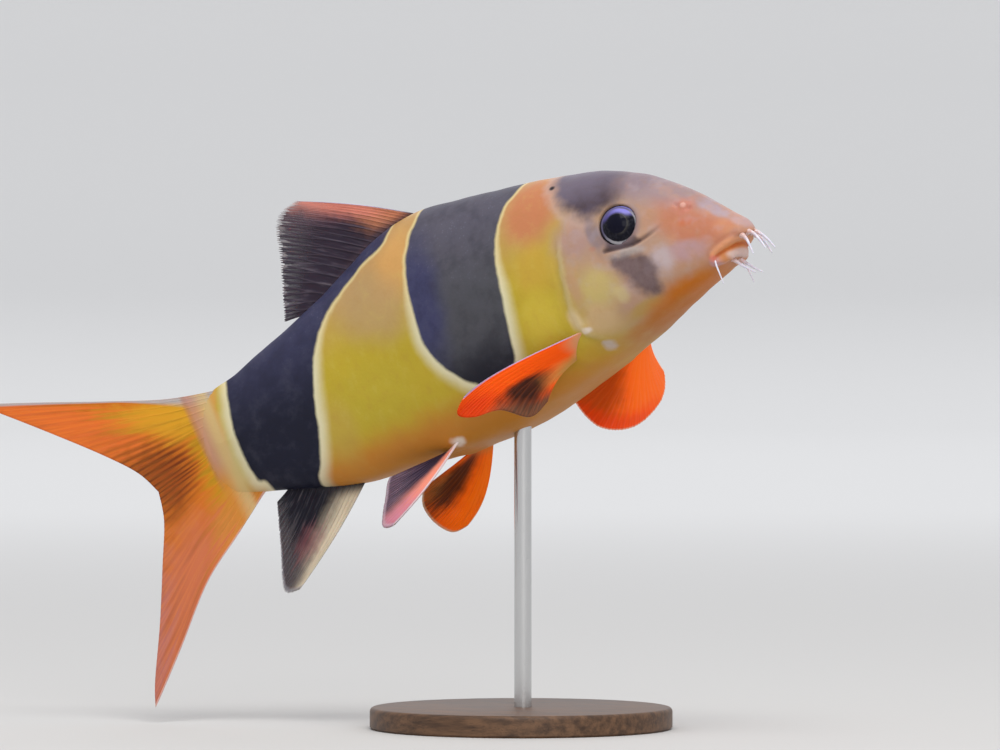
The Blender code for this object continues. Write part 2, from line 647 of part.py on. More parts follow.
def main():
    for obj in list(bpy.data.objects):
        bpy.data.objects.remove(obj)
    skin = material("yellow_orange_skin", (0.72, 0.47, 0.16), 0.38)
    stalk_skin = material("pinkish_stalk_skin", (0.62, 0.40, 0.26), 0.38)
    fin_red = material("orange_red_fin", (0.80, 0.16, 0.03), 0.4)
    fin_dark = material("dark_fin", (0.10, 0.08, 0.10), 0.42)
    tail_orange = material("orange_tail_fin", (0.80, 0.28, 0.05), 0.42)
    lip_skin = material("pink_lip", (0.78, 0.45, 0.34), 0.4)
    eye_dark = material("dark_eye", (0.02, 0.02, 0.05), 0.08)
    wood = material("dark_wood", (0.13, 0.07, 0.04), 0.45)
    steel = material("brushed_steel", (0.6, 0.6, 0.6), 0.3, 1.0)
    head, trunk, stalk = parted_body()
    head = head_details(head)
    paint([head, trunk], skin)
    paint([stalk], stalk_skin)
    paint(eyes(), eye_dark)
    paint(lips(), lip_skin)
    paint(barbels(), lip_skin)
    for piece in fins():
        dark = piece.name in ("dorsal_fin", "anal_fin")
        tail = piece.name.startswith("tail_fin")
        paint([piece], fin_dark if dark else tail_orange if tail else fin_red)
    base, rod = stand()
    paint([base], wood)
    paint([rod], steel)


main()
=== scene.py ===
# %% [markdown]
# # A clown loach, life size, as a still museum model
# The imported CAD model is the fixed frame: it says where the fish is and how large. This script adds
# the looks, piece by piece: one unbroken skin with its markings, eyes, barbels, finely rayed fins,
# and the turned stand. Every cell starts with the thought behind it.

# %% Load the frame
import json
import math

import bmesh
import bpy
import numpy as np
from mathutils import Matrix, Vector
from mathutils.noise import noise as wave_noise

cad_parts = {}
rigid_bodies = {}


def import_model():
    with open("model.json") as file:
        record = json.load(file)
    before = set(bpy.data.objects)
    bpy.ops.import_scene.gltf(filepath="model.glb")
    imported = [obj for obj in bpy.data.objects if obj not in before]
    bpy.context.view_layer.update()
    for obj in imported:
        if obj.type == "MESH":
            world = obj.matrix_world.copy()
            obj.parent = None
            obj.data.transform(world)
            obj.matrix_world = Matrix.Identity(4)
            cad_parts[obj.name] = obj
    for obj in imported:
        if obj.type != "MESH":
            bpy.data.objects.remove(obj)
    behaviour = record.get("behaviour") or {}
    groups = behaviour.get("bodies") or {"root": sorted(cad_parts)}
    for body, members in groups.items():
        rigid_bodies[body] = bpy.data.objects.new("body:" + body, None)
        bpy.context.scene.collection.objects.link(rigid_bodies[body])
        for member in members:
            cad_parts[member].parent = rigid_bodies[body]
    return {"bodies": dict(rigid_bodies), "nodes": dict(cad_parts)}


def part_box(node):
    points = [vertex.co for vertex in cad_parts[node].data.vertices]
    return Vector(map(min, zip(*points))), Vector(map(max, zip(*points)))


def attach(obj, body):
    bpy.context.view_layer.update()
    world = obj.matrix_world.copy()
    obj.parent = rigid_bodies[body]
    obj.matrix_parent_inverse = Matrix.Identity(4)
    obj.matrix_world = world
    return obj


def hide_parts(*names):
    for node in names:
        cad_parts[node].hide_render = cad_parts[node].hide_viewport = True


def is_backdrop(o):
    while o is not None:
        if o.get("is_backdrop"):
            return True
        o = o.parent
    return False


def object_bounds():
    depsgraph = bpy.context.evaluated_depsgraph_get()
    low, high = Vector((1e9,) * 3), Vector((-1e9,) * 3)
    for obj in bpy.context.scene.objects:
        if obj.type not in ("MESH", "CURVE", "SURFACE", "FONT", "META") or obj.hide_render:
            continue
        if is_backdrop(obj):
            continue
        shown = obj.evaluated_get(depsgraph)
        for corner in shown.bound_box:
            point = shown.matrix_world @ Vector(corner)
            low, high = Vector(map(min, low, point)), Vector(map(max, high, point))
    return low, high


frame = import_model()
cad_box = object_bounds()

MM = 0.001
print("nodes in the frame:", len(frame["nodes"]))

# %% [markdown]
# ## The camera
# The photograph shows the fish's right side, seen a little from in front, with a long lens. A long lens
# one metre away keeps that flat look. The camera looks level, well above the floor.

# %% Camera
def new_object(name, data):
    made = bpy.data.objects.new(name, data)
    bpy.context.scene.collection.objects.link(made)
    return made


LOOK_AT = Vector((-3.503, -1.743, 65.37)) * MM
SEEN_FROM = math.radians(28.0)
DISTANCE, SEEN_WIDTH = 1.0, 0.185
lens = bpy.data.cameras.new("camera")
lens.sensor_width = 36.0
lens.lens = lens.sensor_width * DISTANCE / SEEN_WIDTH
lens.clip_start, lens.clip_end = 0.05, 20.0
camera = new_object("camera", lens)
camera.location = LOOK_AT + Vector((math.sin(SEEN_FROM), -math.cos(SEEN_FROM), 0.0)) * DISTANCE
camera.rotation_euler = (math.pi / 2, 0.0, SEEN_FROM)
bpy.context.scene.camera = camera
bpy.context.scene.view_settings.view_transform = "Standard"
print("lens", round(lens.lens, 1), "mm")

# %% [markdown]
# ## Formulas as nodes
# A finish is a formula: a colour that depends on where the surface is. Nodes can say that, but long
# node code is hard to read. Two small helpers let a formula be written as in arithmetic.
# The output of a node becomes a Term, and + or * between Terms and numbers adds the Math node for it.

# %% Terms of a formula
class Term:
    """The output of a node, which adds and multiplies as a number does, each time by a new Math node."""

    def __init__(self, finish, socket):
        self.finish, self.socket = finish, socket

    def __add__(self, other):
        return self.finish.math("ADD", self, other)

    def __sub__(self, other):
        return self.finish.math("SUBTRACT", self, other)

    def __rsub__(self, other):
        return self.finish.math("SUBTRACT", other, self)

    def __mul__(self, other):
        return self.finish.math("MULTIPLY", self, other)

    def __truediv__(self, other):
        return self.finish.math("DIVIDE", self, other)

    def __pow__(self, other):
        return self.finish.math("POWER", self, other)

    def __abs__(self):
        return self.finish.math("ABSOLUTE", self)

    __radd__, __rmul__ = __add__, __mul__


# %% Helper for finishes
class Finish:
    """A material whose nodes are written as formulas, ending in one Principled shader."""

    def __init__(self, name):
        self.material = bpy.data.materials.new(name)
        self.material.use_nodes = True
        self.tree = self.material.node_tree
        self.shader = self.tree.nodes["Principled BSDF"]
        self.here = self.node("ShaderNodeTexCoord", {}, output="Object")

    def node(self, kind, inputs, output=0, **settings):
        made = self.tree.nodes.new(kind)
        for key, value in settings.items():
            setattr(made, key, value)
        for key, value in inputs.items():
            self.feed(made.inputs[key], value)
        return Term(self, made.outputs[output])

    def feed(self, socket, value):
        if isinstance(value, Term):
            self.tree.links.new(value.socket, socket)
        else:
            socket.default_value = (*value, 1.0) if socket.type == "RGBA" else value

    def math(self, operation, *values):
        return self.node("ShaderNodeMath", dict(enumerate(values)), operation=operation)

    def fade(self, value, start, end):
        """0 before start, 1 after end, smooth between them. Start may be the larger."""
        inputs = {"Value": value, "From Min": start, "From Max": end}
        return self.node("ShaderNodeMapRange", inputs, interpolation_type="SMOOTHSTEP")

    def mix(self, share, first, second):
        inputs = {"Factor": share, 6: first, 7: second}
        return self.node("ShaderNodeMix", inputs, output=2, data_type="RGBA")

    def spots(self, name, output="Fac"):
        return self.node("ShaderNodeAttribute", {}, output=output, attribute_name=name)

    def straight(self):
        """The station and height that this spot had on the straight fish, from the piece's own attribute."""
        spot = self.spots("straight", "Vector")
        return [self.node("ShaderNodeSeparateXYZ", {"Vector": spot}, output=axis) for axis in "XZ"]

    def scaled(self, scale, place_on=None):
        return self.node("ShaderNodeMapping", {"Vector": place_on or self.here, "Scale": scale})

    def noise(self, size, detail=2.0, rough=0.5, place_on=None):
        """Soft noise whose lumps are about size millimetres across."""
        inputs = {"Vector": place_on or self.here, "Scale": 1000.0 / size, "Detail": detail, "Roughness": rough}
        return self.node("ShaderNodeTexNoise", inputs)

    def wander(self, size, detail, amount):
        """A soft random shift, half of amount each way."""
        return (self.noise(size, detail) - 0.5) * amount

    def cells(self, size, **settings):
        return self.node("ShaderNodeTexVoronoi", {"Vector": self.here, "Scale": 1000.0 / size}, **settings)

    def bump(self, height, strength, depth=0.1):
        inputs = {"Height": height, "Strength": strength, "Distance": depth * MM}
        self.feed(self.shader.inputs["Normal"], self.node("ShaderNodeBump", inputs))

    def set(self, **values):
        for key, value in values.items():
            self.feed(self.shader.inputs[key.replace("_", " ")], value)
        return self.material


# %% [markdown]
# ## Floor and light
# A museum model stands in plain light. The floor is a wide pale bowl: flat under the model, rising in
# one soft sweep far away, so no horizon line crosses the picture from any side. A soft light hangs over
# the front, a wide one fills in from the side of the camera, and a weaker one fills the far side.

# %% Floor and light
def number_by_place(elements, place):
    """Blender's sphere, lathe and division number their results anew each run. This makes every run the same."""
    for index, element in enumerate(sorted(elements, key=place)):
        element.index = index
    elements.sort()


def mesh_from(bm, name):
    number_by_place(bm.faces, lambda face: tuple(face.calc_center_median()))
    mesh = bpy.data.meshes.new(name)
    bm.to_mesh(mesh)
    bm.free()
    return mesh


def spun(profile, steps):
    """A shape turned round the upright axis, as on a lathe, from a line of radius and height."""
    bm = bmesh.new()
    verts = [bm.verts.new((radius, 0.0, height)) for radius, height in profile]
    for a, b in zip(verts, verts[1:]):
        bm.edges.new((a, b))
    bmesh.ops.spin(bm, geom=bm.verts[:] + bm.edges[:], axis=(0, 0, 1), cent=(0, 0, 0), angle=2 * math.pi,
                   steps=steps, use_merge=True)
    bmesh.ops.remove_doubles(bm, verts=bm.verts, dist=1e-7)
    return bm


FLOOR_PROFILE = [(0.0, 0.0), (0.5, 0.0), (2.0, 0.0), (2.5, 0.03), (3.0, 0.14), (3.3, 0.3), (3.5, 0.5), (3.56, 0.7)]


def studio_floor():
    bm = spun(FLOOR_PROFILE, 96)
    bmesh.ops.recalc_face_normals(bm, faces=bm.faces)
    mesh = mesh_from(bm, "studio_floor")
    mesh.shade_smooth()
    floor = new_object("studio_floor", mesh)
    paper = Finish("pale_paper")
    from_middle = paper.node("ShaderNodeVectorMath", {0: paper.here}, output="Value", operation="LENGTH")
    tone = paper.mix(paper.fade(from_middle, 0.15, 1.7), (0.56, 0.555, 0.545), (0.80, 0.80, 0.79))
    mesh.materials.append(paper.set(Base_Color=tone, Roughness=0.9, Specular_IOR_Level=0.2))
    floor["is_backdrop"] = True


def soft_light(name, position, size, watts, colour):
    data = bpy.data.lights.new(name, "AREA")
    data.shape = "RECTANGLE"
    data.size, data.size_y = size
    data.energy = watts
    data.color = colour
    lamp = new_object(name, data)
    lamp.location = position
    lamp.rotation_euler = (LOOK_AT - Vector(position)).to_track_quat("-Z", "Y").to_euler()
    lamp.visible_camera = False


studio_floor()
soft_light("overhead_light", (0.25, -0.35, 1.1), (0.7, 0.6), 7.0, (1.0, 0.98, 0.95))
soft_light("front_fill", (1.5, -2.0, 1.15), (1.4, 1.4), 14.0, (1.0, 0.98, 0.96))
soft_light("back_fill", (-1.1, 2.0, 1.3), (1.6, 1.6), 5.0, (0.97, 0.98, 1.0))
world = bpy.data.worlds.new("studio_air")
world.use_nodes = True
air = world.node_tree.nodes["Background"].inputs
air["Color"].default_value, air["Strength"].default_value = (0.95, 0.96, 1.0, 1.0), 0.8
bpy.context.scene.world = world

# %% [markdown]
# ## The straight fish
# A bent, tilted fish is hard to model. So every piece is laid out straight first, in millimetres:
# station is the distance behind the snout tip, across is towards the fish's left, up is towards its
# back. One formula, place(), bends the spine, lifts the snout and sets the point over the stand, with
# the same sizes as the CAD model, so nothing has to be fitted afterwards.

# %% Sizes of the straight fish
# where the snout tip is, how far the snout is lifted, and the heading of head and tail
SNOUT_TIP = Vector((51.0, -7.2, 91.2))
PITCH, HEAD_TURN, TAIL_TURN = math.radians(18.5), math.radians(8.0), math.radians(-20.0)
BEND_FROM, BEND_TO = 30.0, 135.0
SPINE_END, SPINE_STEP = 190.0, 0.5
LENGTH = 122.0
# station, height of the back, depth of the belly, half width, height of the widest place
SECTIONS = [
    (0.0, 1.9, -0.2, 2.2, 0.4), (1.5, 3.3, -0.4, 2.9, 0.4), (3.0, 4.7, -1.4, 3.4, 0.2),
    (4.4, 6.1, -3.0, 3.9, 0.1), (6.0, 7.7, -3.9, 4.5, 0.2), (9.0, 10.5, -5.0, 5.6, 0.8),
    (14.5, 14.8, -6.5, 7.5, 2.0), (20.0, 18.2, -8.1, 9.0, 3.0),
    (28.0, 21.3, -10.7, 10.6, 3.0), (37.0, 23.5, -13.2, 11.8, 2.0), (48.0, 25.2, -16.0, 12.7, 1.5),
    (58.0, 26.6, -17.9, 12.8, 1.5), (67.0, 27.5, -18.4, 12.2, 1.5), (76.0, 26.2, -18.1, 11.0, 1.2),
    (85.0, 22.2, -17.6, 9.5, 0.5), (94.0, 17.7, -17.3, 7.9, -0.8), (102.0, 14.4, -15.6, 6.4, -1.0),
    (110.0, 11.1, -13.6, 4.9, -1.4), (116.0, 9.0, -12.6, 3.6, -1.8), (LENGTH, 8.4, -12.0, 2.4, -1.8),
]
# how round the halves of a section are, 2 for an ellipse, and where they thin to the lens of the tail
BACK_ROUNDNESS, BELLY_ROUNDNESS, TAIL_ROUNDNESS = 1.95, 2.8, 1.3
TAIL_ROUNDNESS_FROM, TAIL_ROUNDNESS_TO = 106.0, 118.0
NOSE_ROUND, TAIL_ROUND, TAIL_TAPER = 1.5, 7.0, 8.0


# %% Formulas of the straight fish
def smooth_step(value, start, end):
    t = np.clip((value - start) / (end - start), 0, 1)
    return t * t * (3 - 2 * t)


def hermite(before, start, end, after, t):
    """One value on the smooth curve from start to end. Each argument but t is a position and a value."""
    span = end[0] - start[0]
    slope_start = (end[1] - before[1]) / (end[0] - before[0])
    slope_end = (after[1] - start[1]) / (after[0] - start[0])
    return (
        (2 * t**3 - 3 * t**2 + 1) * start[1] + (t**3 - 2 * t**2 + t) * span * slope_start
        + (3 * t**2 - 2 * t**3) * end[1] + (t**3 - t**2) * span * slope_end
    )


def section_at(station):
    """The body's sizes at a station, read smoothly from SECTIONS."""
    station = min(max(station, 0.0), LENGTH)
    last = len(SECTIONS) - 2
    i = next((k for k in range(last + 1) if station <= SECTIONS[k + 1][0]), last)
    rows = [SECTIONS[max(i - 1, 0)], SECTIONS[i], SECTIONS[i + 1], SECTIONS[min(i + 2, last + 1)]]
    t = (station - rows[1][0]) / (rows[2][0] - rows[1][0])
    return [hermite(*[(row[0], row[c]) for row in rows], t) for c in range(1, 5)]


def curve_through(points, share):
    """The point at a share of the way along a smooth curve through evenly counted points."""
    place_on = share * (len(points) - 1)
    i = min(int(place_on), len(points) - 2)
    numbered = [(k, points[min(max(k, 0), len(points) - 1)]) for k in range(i - 1, i + 3)]
    return tuple(hermite(*[(k, p[c]) for k, p in numbered], place_on - i) for c in range(len(points[0])))


def spine_table():
    """The spine seen from above: a list of x, y and heading."""
    x = y = 0.0
    rows = []
    for step in range(int(SPINE_END / SPINE_STEP) + 1):
        share = min(max((step * SPINE_STEP - BEND_FROM) / (BEND_TO - BEND_FROM), 0.0), 1.0)
        turn = HEAD_TURN + (TAIL_TURN - HEAD_TURN) * share * share * (3 - 2 * share)
        if rows:
            middle = (turn + rows[-1][2]) / 2
            x -= math.cos(middle) * SPINE_STEP
            y += math.sin(middle) * SPINE_STEP
        rows.append((x, y, turn))
    return rows


SPINE = spine_table()


def place(point):
    """The world position, in metres, of a point of the straight fish."""
    station, across, up = point
    step = min(max(int(station / SPINE_STEP), 0), len(SPINE) - 2)
    x, y, turn = SPINE[step]
    turn += (SPINE[step + 1][2] - turn) * (station / SPINE_STEP - step)
    beyond = station - step * SPINE_STEP
    x += -math.cos(turn) * beyond + across * math.sin(turn)
    y += math.sin(turn) * beyond + across * math.cos(turn)
    lifted = Vector((x * math.cos(PITCH) - up * math.sin(PITCH), y, x * math.sin(PITCH) + up * math.cos(PITCH)))
    return (SNOUT_TIP + lifted) * MM


def skin_point(station, angle):
    """A point of the skin: angle 0 is the fish's left side and a quarter turn is its back."""
    top, bottom, half_width, widest = section_at(station)
    if station < NOSE_ROUND:
        tall = thin = math.sqrt(max(1 - (1 - station / NOSE_ROUND) ** 2, 0.0))
    else:
        near_tail = LENGTH - station
        tall = math.sqrt(max(1 - max(1 - near_tail / TAIL_ROUND, 0.0) ** 2.6, 0.0))
        thin = min(near_tail / TAIL_TAPER, 1.0) ** 0.7
    c, s = math.cos(angle), math.sin(angle)
    roundness = BACK_ROUNDNESS if s > 0 else BELLY_ROUNDNESS
    roundness += (TAIL_ROUNDNESS - roundness) * float(
        smooth_step(station, TAIL_ROUNDNESS_FROM, TAIL_ROUNDNESS_TO))
    height = (top - widest if s > 0 else widest - bottom) * tall
    across = math.copysign(abs(c) ** (2 / roundness), c) * half_width * thin * max(tall, 0.6)
    return station, across, widest + math.copysign(abs(s) ** (2 / roundness), s) * height


def side_of_body(station, up, side=1):
    """The point of the skin at a station and height, on the left side, or on the right if side is -1."""
    top, bottom, half_width, widest = section_at(station)
    roundness = BACK_ROUNDNESS if up > widest else BELLY_ROUNDNESS
    share = min(abs(up - widest) / (top - widest if up > widest else widest - bottom), 1.0)
    return Vector((station, side * half_width * (1 - share**roundness) ** (1 / roundness), up))


def outward(station, up, side=1):
    """The direction straight out of the skin there, for the straight fish."""
    along = side_of_body(station + 0.2, up, side) - side_of_body(station - 0.2, up, side)
    rise = side_of_body(station, up + 0.2, side) - side_of_body(station, up - 0.2, side)
    normal = along.cross(rise).normalized()
    return normal if normal.y * side > 0 else -normal


for what, at in (("snout tip", 0.0), ("end of the flesh", LENGTH)):
    print(what, [round(c, 4) for c in place((at, 0, 0))])

# %% [markdown]
# ## The markings, as distances
# Three dark bands cross the fish. A texture that is painted on can't stay sharp from every side, so
# each marking is an outline of a few real sizes, and every point of the skin carries its distance to
# that outline. The finish then decides what a distance looks like: dark inside, a cream hem outside.

# %% Outlines of the markings, as station and up
EYE_BAND = [(36.2, 40.0), (35.9, 21.7), (34.0, 17.4), (31.8, 14.7), (28.5, 12.1), (25.7, 12.2), (22.0, 12.4),
            (20.0, 13.2), (20.3, 18.0), (20.0, 40.0)]
CHEEK_PATCH = [(24.8, 3.7), (24.4, 1.6), (22.6, -1.6), (20.6, -4.7), (18.6, -5.5), (17.3, -3.6), (16.9, -0.9),
               (17.6, 1.8), (20.4, 3.1)]
MIDDLE_FRONT = [(42.6, 40.0), (43.4, 24.3), (45.6, 20.7), (47.8, 14.1), (48.3, 5.2), (48.8, -1.6), (49.6, -7.0),
                (52.0, -10.3)]
MIDDLE_REAR = [(57.0, -10.6), (60.8, -8.6), (63.2, -6.6), (66.4, -3.0), (68.7, 1.6), (69.4, 8.8), (69.4, 16.5),
               (67.8, 22.6), (66.3, 26.6), (65.8, 40.0)]
REAR_FRONT = [(71.5, 40.0), (73.7, 24.6), (80.6, 20.5), (90.3, 13.9), (94.5, 6.9), (96.5, -0.6), (97.5, -6.2),
              (99.2, -11.5), (101.3, -15.3), (102.5, -25.0)]
REAR_REAR = [(110.8, -25.0), (111.2, -13.0), (113.4, -10.6), (114.5, -5.0), (114.9, 2.1), (114.5, 7.9), (114.0, 30.0)]
GILL_LINE = [(28.0, 32.0), (31.0, 20.0), (34.1, 10.4), (34.9, 2.6), (35.3, -3.0), (34.2, -7.4), (30.5, -11.2),
             (25.0, -14.0), (16.0, -18.0)]
CHEEK_SLIT = [(25.4, 5.2), (22.6, 4.9), (20.0, 4.6), (17.3, 5.1), (14.2, 6.2)]
# the hollow corner below the eye, carved in and painted with shade
SHADED_EYE_CORNER = [(25.5, 5.0), (22.6, 4.7), (20.0, 4.4), (18.4, 4.8), (19.3, 5.9), (21.2, 5.5), (23.3, 6.0), (24.4, 6.6)]


def smooth_line(points, steps=8):
    """More points on the smooth curve through these."""
    count = (len(points) - 1) * steps
    return np.array([curve_through(points, k / count) for k in range(count + 1)])


def away_from(spots, line):
    """The distance of each spot from a line of points, in millimetres."""
    nearest = np.full(len(spots), 1e9)
    for a, b in zip(line, line[1:]):
        along = np.clip(((spots - a) @ (b - a)) / max(float((b - a) @ (b - a)), 1e-9), 0, 1)
        nearest = np.minimum(nearest, np.linalg.norm(spots - a - along[:, None] * (b - a), axis=1))
    return nearest


def inside_outline(spots, outline):
    """The distance of each spot from a closed outline, positive inside it."""
    closed = np.vstack([outline, outline[:1]])
    inside = np.zeros(len(spots), bool)
    for (ax, ay), (bx, by) in zip(closed, closed[1:]):
        if ay != by:
            crosses = (spots[:, 1] < ay) != (spots[:, 1] < by)
            inside ^= crosses & (spots[:, 0] < ax + (spots[:, 1] - ay) * (bx - ax) / (by - ay))
    return np.where(inside, 1, -1) * away_from(spots, closed)


def before_line(spots, line):
    """The distance of each spot from a line that runs downwards, positive on its snout side."""
    order = np.argsort(line[:, 1])
    crossing = np.interp(spots[:, 1], line[order, 1], line[order, 0])
    return np.where(spots[:, 0] < crossing, 1, -1) * away_from(spots, line)


def hump(value, width):
    return np.exp(-((value / width) ** 2))


# %% [markdown]
# ## One unbroken skin
# The CAD model parts the flesh at the gill cover and the tail. A real fish has no such seam, so one
# closed skin stands for those solids and for the lips. It could be sculpted by hand from a rough cage,
# but then its sizes would drift from the CAD model's. So it starts as a sphere of many rings. Each
# vertex is sent to its station and angle, and then moves in or out by the relief: the eye sockets,
# nostrils, lips and mouth, the slit of the spine below the eye, the gill cover's edge and the muscle
# at the fins' roots. The rings are closest on the head, and the patch round each eye is divided again.

# %% Where the features of the head are
EYE_STATION, EYE_HEIGHT, EYE_RADIUS, EYE_SUNK = 22.0, 9.2, 4.6, 3.1
UPPER_LIP = [(6.9, 4.3, -1.9), (5.1, 3.9, -1.1), (3.2, 3.0, -0.5), (1.9, 1.4, -0.4)]
LOWER_LIP = [(7.2, 3.9, -3.1), (5.9, 3.2, -3.2), (4.4, 2.2, -3.0), (3.8, 0.7, -2.9)]
MOUTH_LINE = [(7.1, 4.2, -2.5), (5.4, 3.7, -2.0), (3.8, 2.7, -1.6), (2.9, 1.0, -1.5)]
MOUTH_CORNER = (7.2, -2.5)
PECTORAL_FLESH, PELVIC_FLESH = [(34.4, -7.1), (38.0, -10.6)], [(69.9, -16.4), (73.0, -17.2)]
FRONT_NOSTRIL, REAR_NOSTRIL, NOSTRIL_FLAP = (9.4, 7.9), (11.3, 9.0), (10.2, 8.5)
# bumps and hollows, the same on both sides: station, up, how far raised, width
BUMPS = [
    (22.5, 14.0, 0.25, 3.5),  # brow
    (26.5, -2.5, 0.35, 5.0),  # gill cover
    (11.0, 8.0, 0.15, 1.6),   # round the nostrils
    (*NOSTRIL_FLAP, 0.5, 0.6), (*FRONT_NOSTRIL, -0.5, 0.42), (*REAR_NOSTRIL, -0.5, 0.4), (*MOUTH_CORNER, 0.3, 0.6),
]
SOCKET_DEPTH, OFF_LINE = 2.6, 9.0


def both_sides(half):
    """A line round the snout from one corner of the mouth to the other."""
    return smooth_line(half + [(s, -a, u) for s, a, u in reversed(half)], 4)


def paired_spots(station, up):
    return [np.array(side_of_body(station, up, side)) for side in (1, -1)]


def away_from_pair(spots, station, up):
    return np.minimum(*[np.linalg.norm(spots - spot, axis=1) for spot in paired_spots(station, up)])


# %% Relief of the skin
def relief(spots):
    """How far each spot of the smooth body is raised, in millimetres, and the distances the finish needs."""
    side_view = spots[:, [0, 2]]
    on_side = smooth_step(np.abs(spots[:, 1]), 1.5, 4.0)
    eye = away_from_pair(spots, EYE_STATION, EYE_HEIGHT)
    slit = np.where(on_side > 0, away_from(side_view, smooth_line(CHEEK_SLIT)), OFF_LINE)
    corner = np.where(on_side > 0, inside_outline(side_view, np.array(SHADED_EYE_CORNER)), -OFF_LINE)
    gill = before_line(side_view, smooth_line(GILL_LINE))
    mouth, upper, lower = (away_from(spots, both_sides(line)) for line in (MOUTH_LINE, UPPER_LIP, LOWER_LIP))
    raised = -SOCKET_DEPTH * (1 - smooth_step(eye, 3.1, 3.7)) + 0.12 * hump(eye - 3.95, 0.4)
    for station, up, height, width in BUMPS:
        raised += height * hump(away_from_pair(spots, station, up), width)
    fading = on_side * smooth_step(spots[:, 0], 13.0, 18.0)
    raised += fading * (-0.3 * hump(slit, 0.3) + 0.12 * hump(slit - 0.7, 0.4))
    raised -= on_side * 0.4 * smooth_step(corner, -0.25, 0.35)
    cover = smooth_step(spots[:, 2], -11.5, -8.0) * (1 - smooth_step(spots[:, 2], 7.0, 13.0))
    edge = 0.3 * smooth_step(gill, -0.4, 0.3) * (1 - smooth_step(gill, 1.0, 9.0))
    raised += cover * (edge - 0.3 * hump(gill + 0.7, 0.6))
    bumpy = np.array([wave_noise(Vector(spot) * 1.1) for spot in spots])
    raised += (0.32 + 0.15 * bumpy) * hump(upper, 0.5) + (0.55 + 0.25 * bumpy) * hump(lower, 0.85)
    raised -= 0.32 * hump(mouth, 0.4) + 0.06 * hump(upper - 1.15, 0.35)
    for fin_root, height, width in ((PECTORAL_FLESH, 0.8, 1.5), (PELVIC_FLESH, 0.5, 1.6)):
        raised += on_side * height * hump(away_from(side_view, np.array(fin_root)), width)
    rough = [wave_noise(Vector(spot) * 0.12) * 0.22 + wave_noise(Vector(spot) * 0.35) * 0.06 for spot in spots]
    raised += np.array(rough) * smooth_step(spots[:, 0], 0.0, 20.0)
    return raised, {
        "eye_away": eye, "slit_away": slit, "shaded_eye_corner": corner, "gill_away": gill, "mouth_away": mouth,
        "upper_lip_away": upper, "lower_lip_away": lower, "flap_away": away_from_pair(spots, *NOSTRIL_FLAP),
        "mouth_corner_away": away_from_pair(spots, *MOUTH_CORNER)}


def marking_distances(spots):
    side_view = spots[:, [0, 2]]
    outlines = {
        "eye_band": np.array(EYE_BAND),
        "cheek_patch": smooth_line(CHEEK_PATCH + CHEEK_PATCH[:1]),
        "middle_band": np.vstack([smooth_line(MIDDLE_FRONT), smooth_line(MIDDLE_REAR)]),
        "rear_band": np.vstack([smooth_line(REAR_FRONT), smooth_line(REAR_REAR)]),
    }
    return {name: inside_outline(side_view, outline) for name, outline in outlines.items()}


# %% Helper that turns a bmesh into a piece of the model
def piece_from(bm, name, finish, replaced):
    """A finished piece at the origin, riding on the one body."""
    mesh = mesh_from(bm, name)
    mesh.shade_smooth()
    mesh.materials.append(finish)
    piece = new_object(name, mesh)
    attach(piece, next(iter(frame["bodies"])))
    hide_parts(*replaced)
    print(name, len(mesh.polygons), "faces")
    return piece


def add_numbers(mesh, name, values):
    mesh.attributes.new(name, "FLOAT", "POINT").data.foreach_set("value", np.asarray(values, np.float32))


def turn_outwards(bm):
    bmesh.ops.recalc_face_normals(bm, faces=bm.faces)
    if bm.calc_volume(signed=True) < 0:
        bmesh.ops.reverse_faces(bm, faces=bm.faces)


# %% The skin
SKIN_RINGS, SKIN_SIDES, HEAD_CROWDING = 250, 168, 1.35
# the part round each eye that is divided again: station and up, each with its reach, and how far out it starts
NEAR_EYE = ((20.0, 8.5), (8.0, 6.5), 3.0)
SKIN_MIDDLE = (60.0, 0.0, 1.0)
STEP_ALONG, STEP_ROUND = 0.05, 0.01


def station_and_angle(vert):
    """Where a vertex of the unit sphere goes: its station and its angle round the body."""
    ball = vert.co.normalized()
    share = (math.acos(max(-1.0, min(1.0, ball.z))) / math.pi) ** HEAD_CROWDING
    return LENGTH * (1 - math.cos(share * math.pi)) / 2, math.atan2(ball.y, ball.x)


def near_eye(vert):
    station, across, up = skin_point(*station_and_angle(vert))
    (at, half_length), (height, half_height), out = NEAR_EYE
    return abs(station - at) < half_length and abs(up - height) < half_height and abs(across) > out


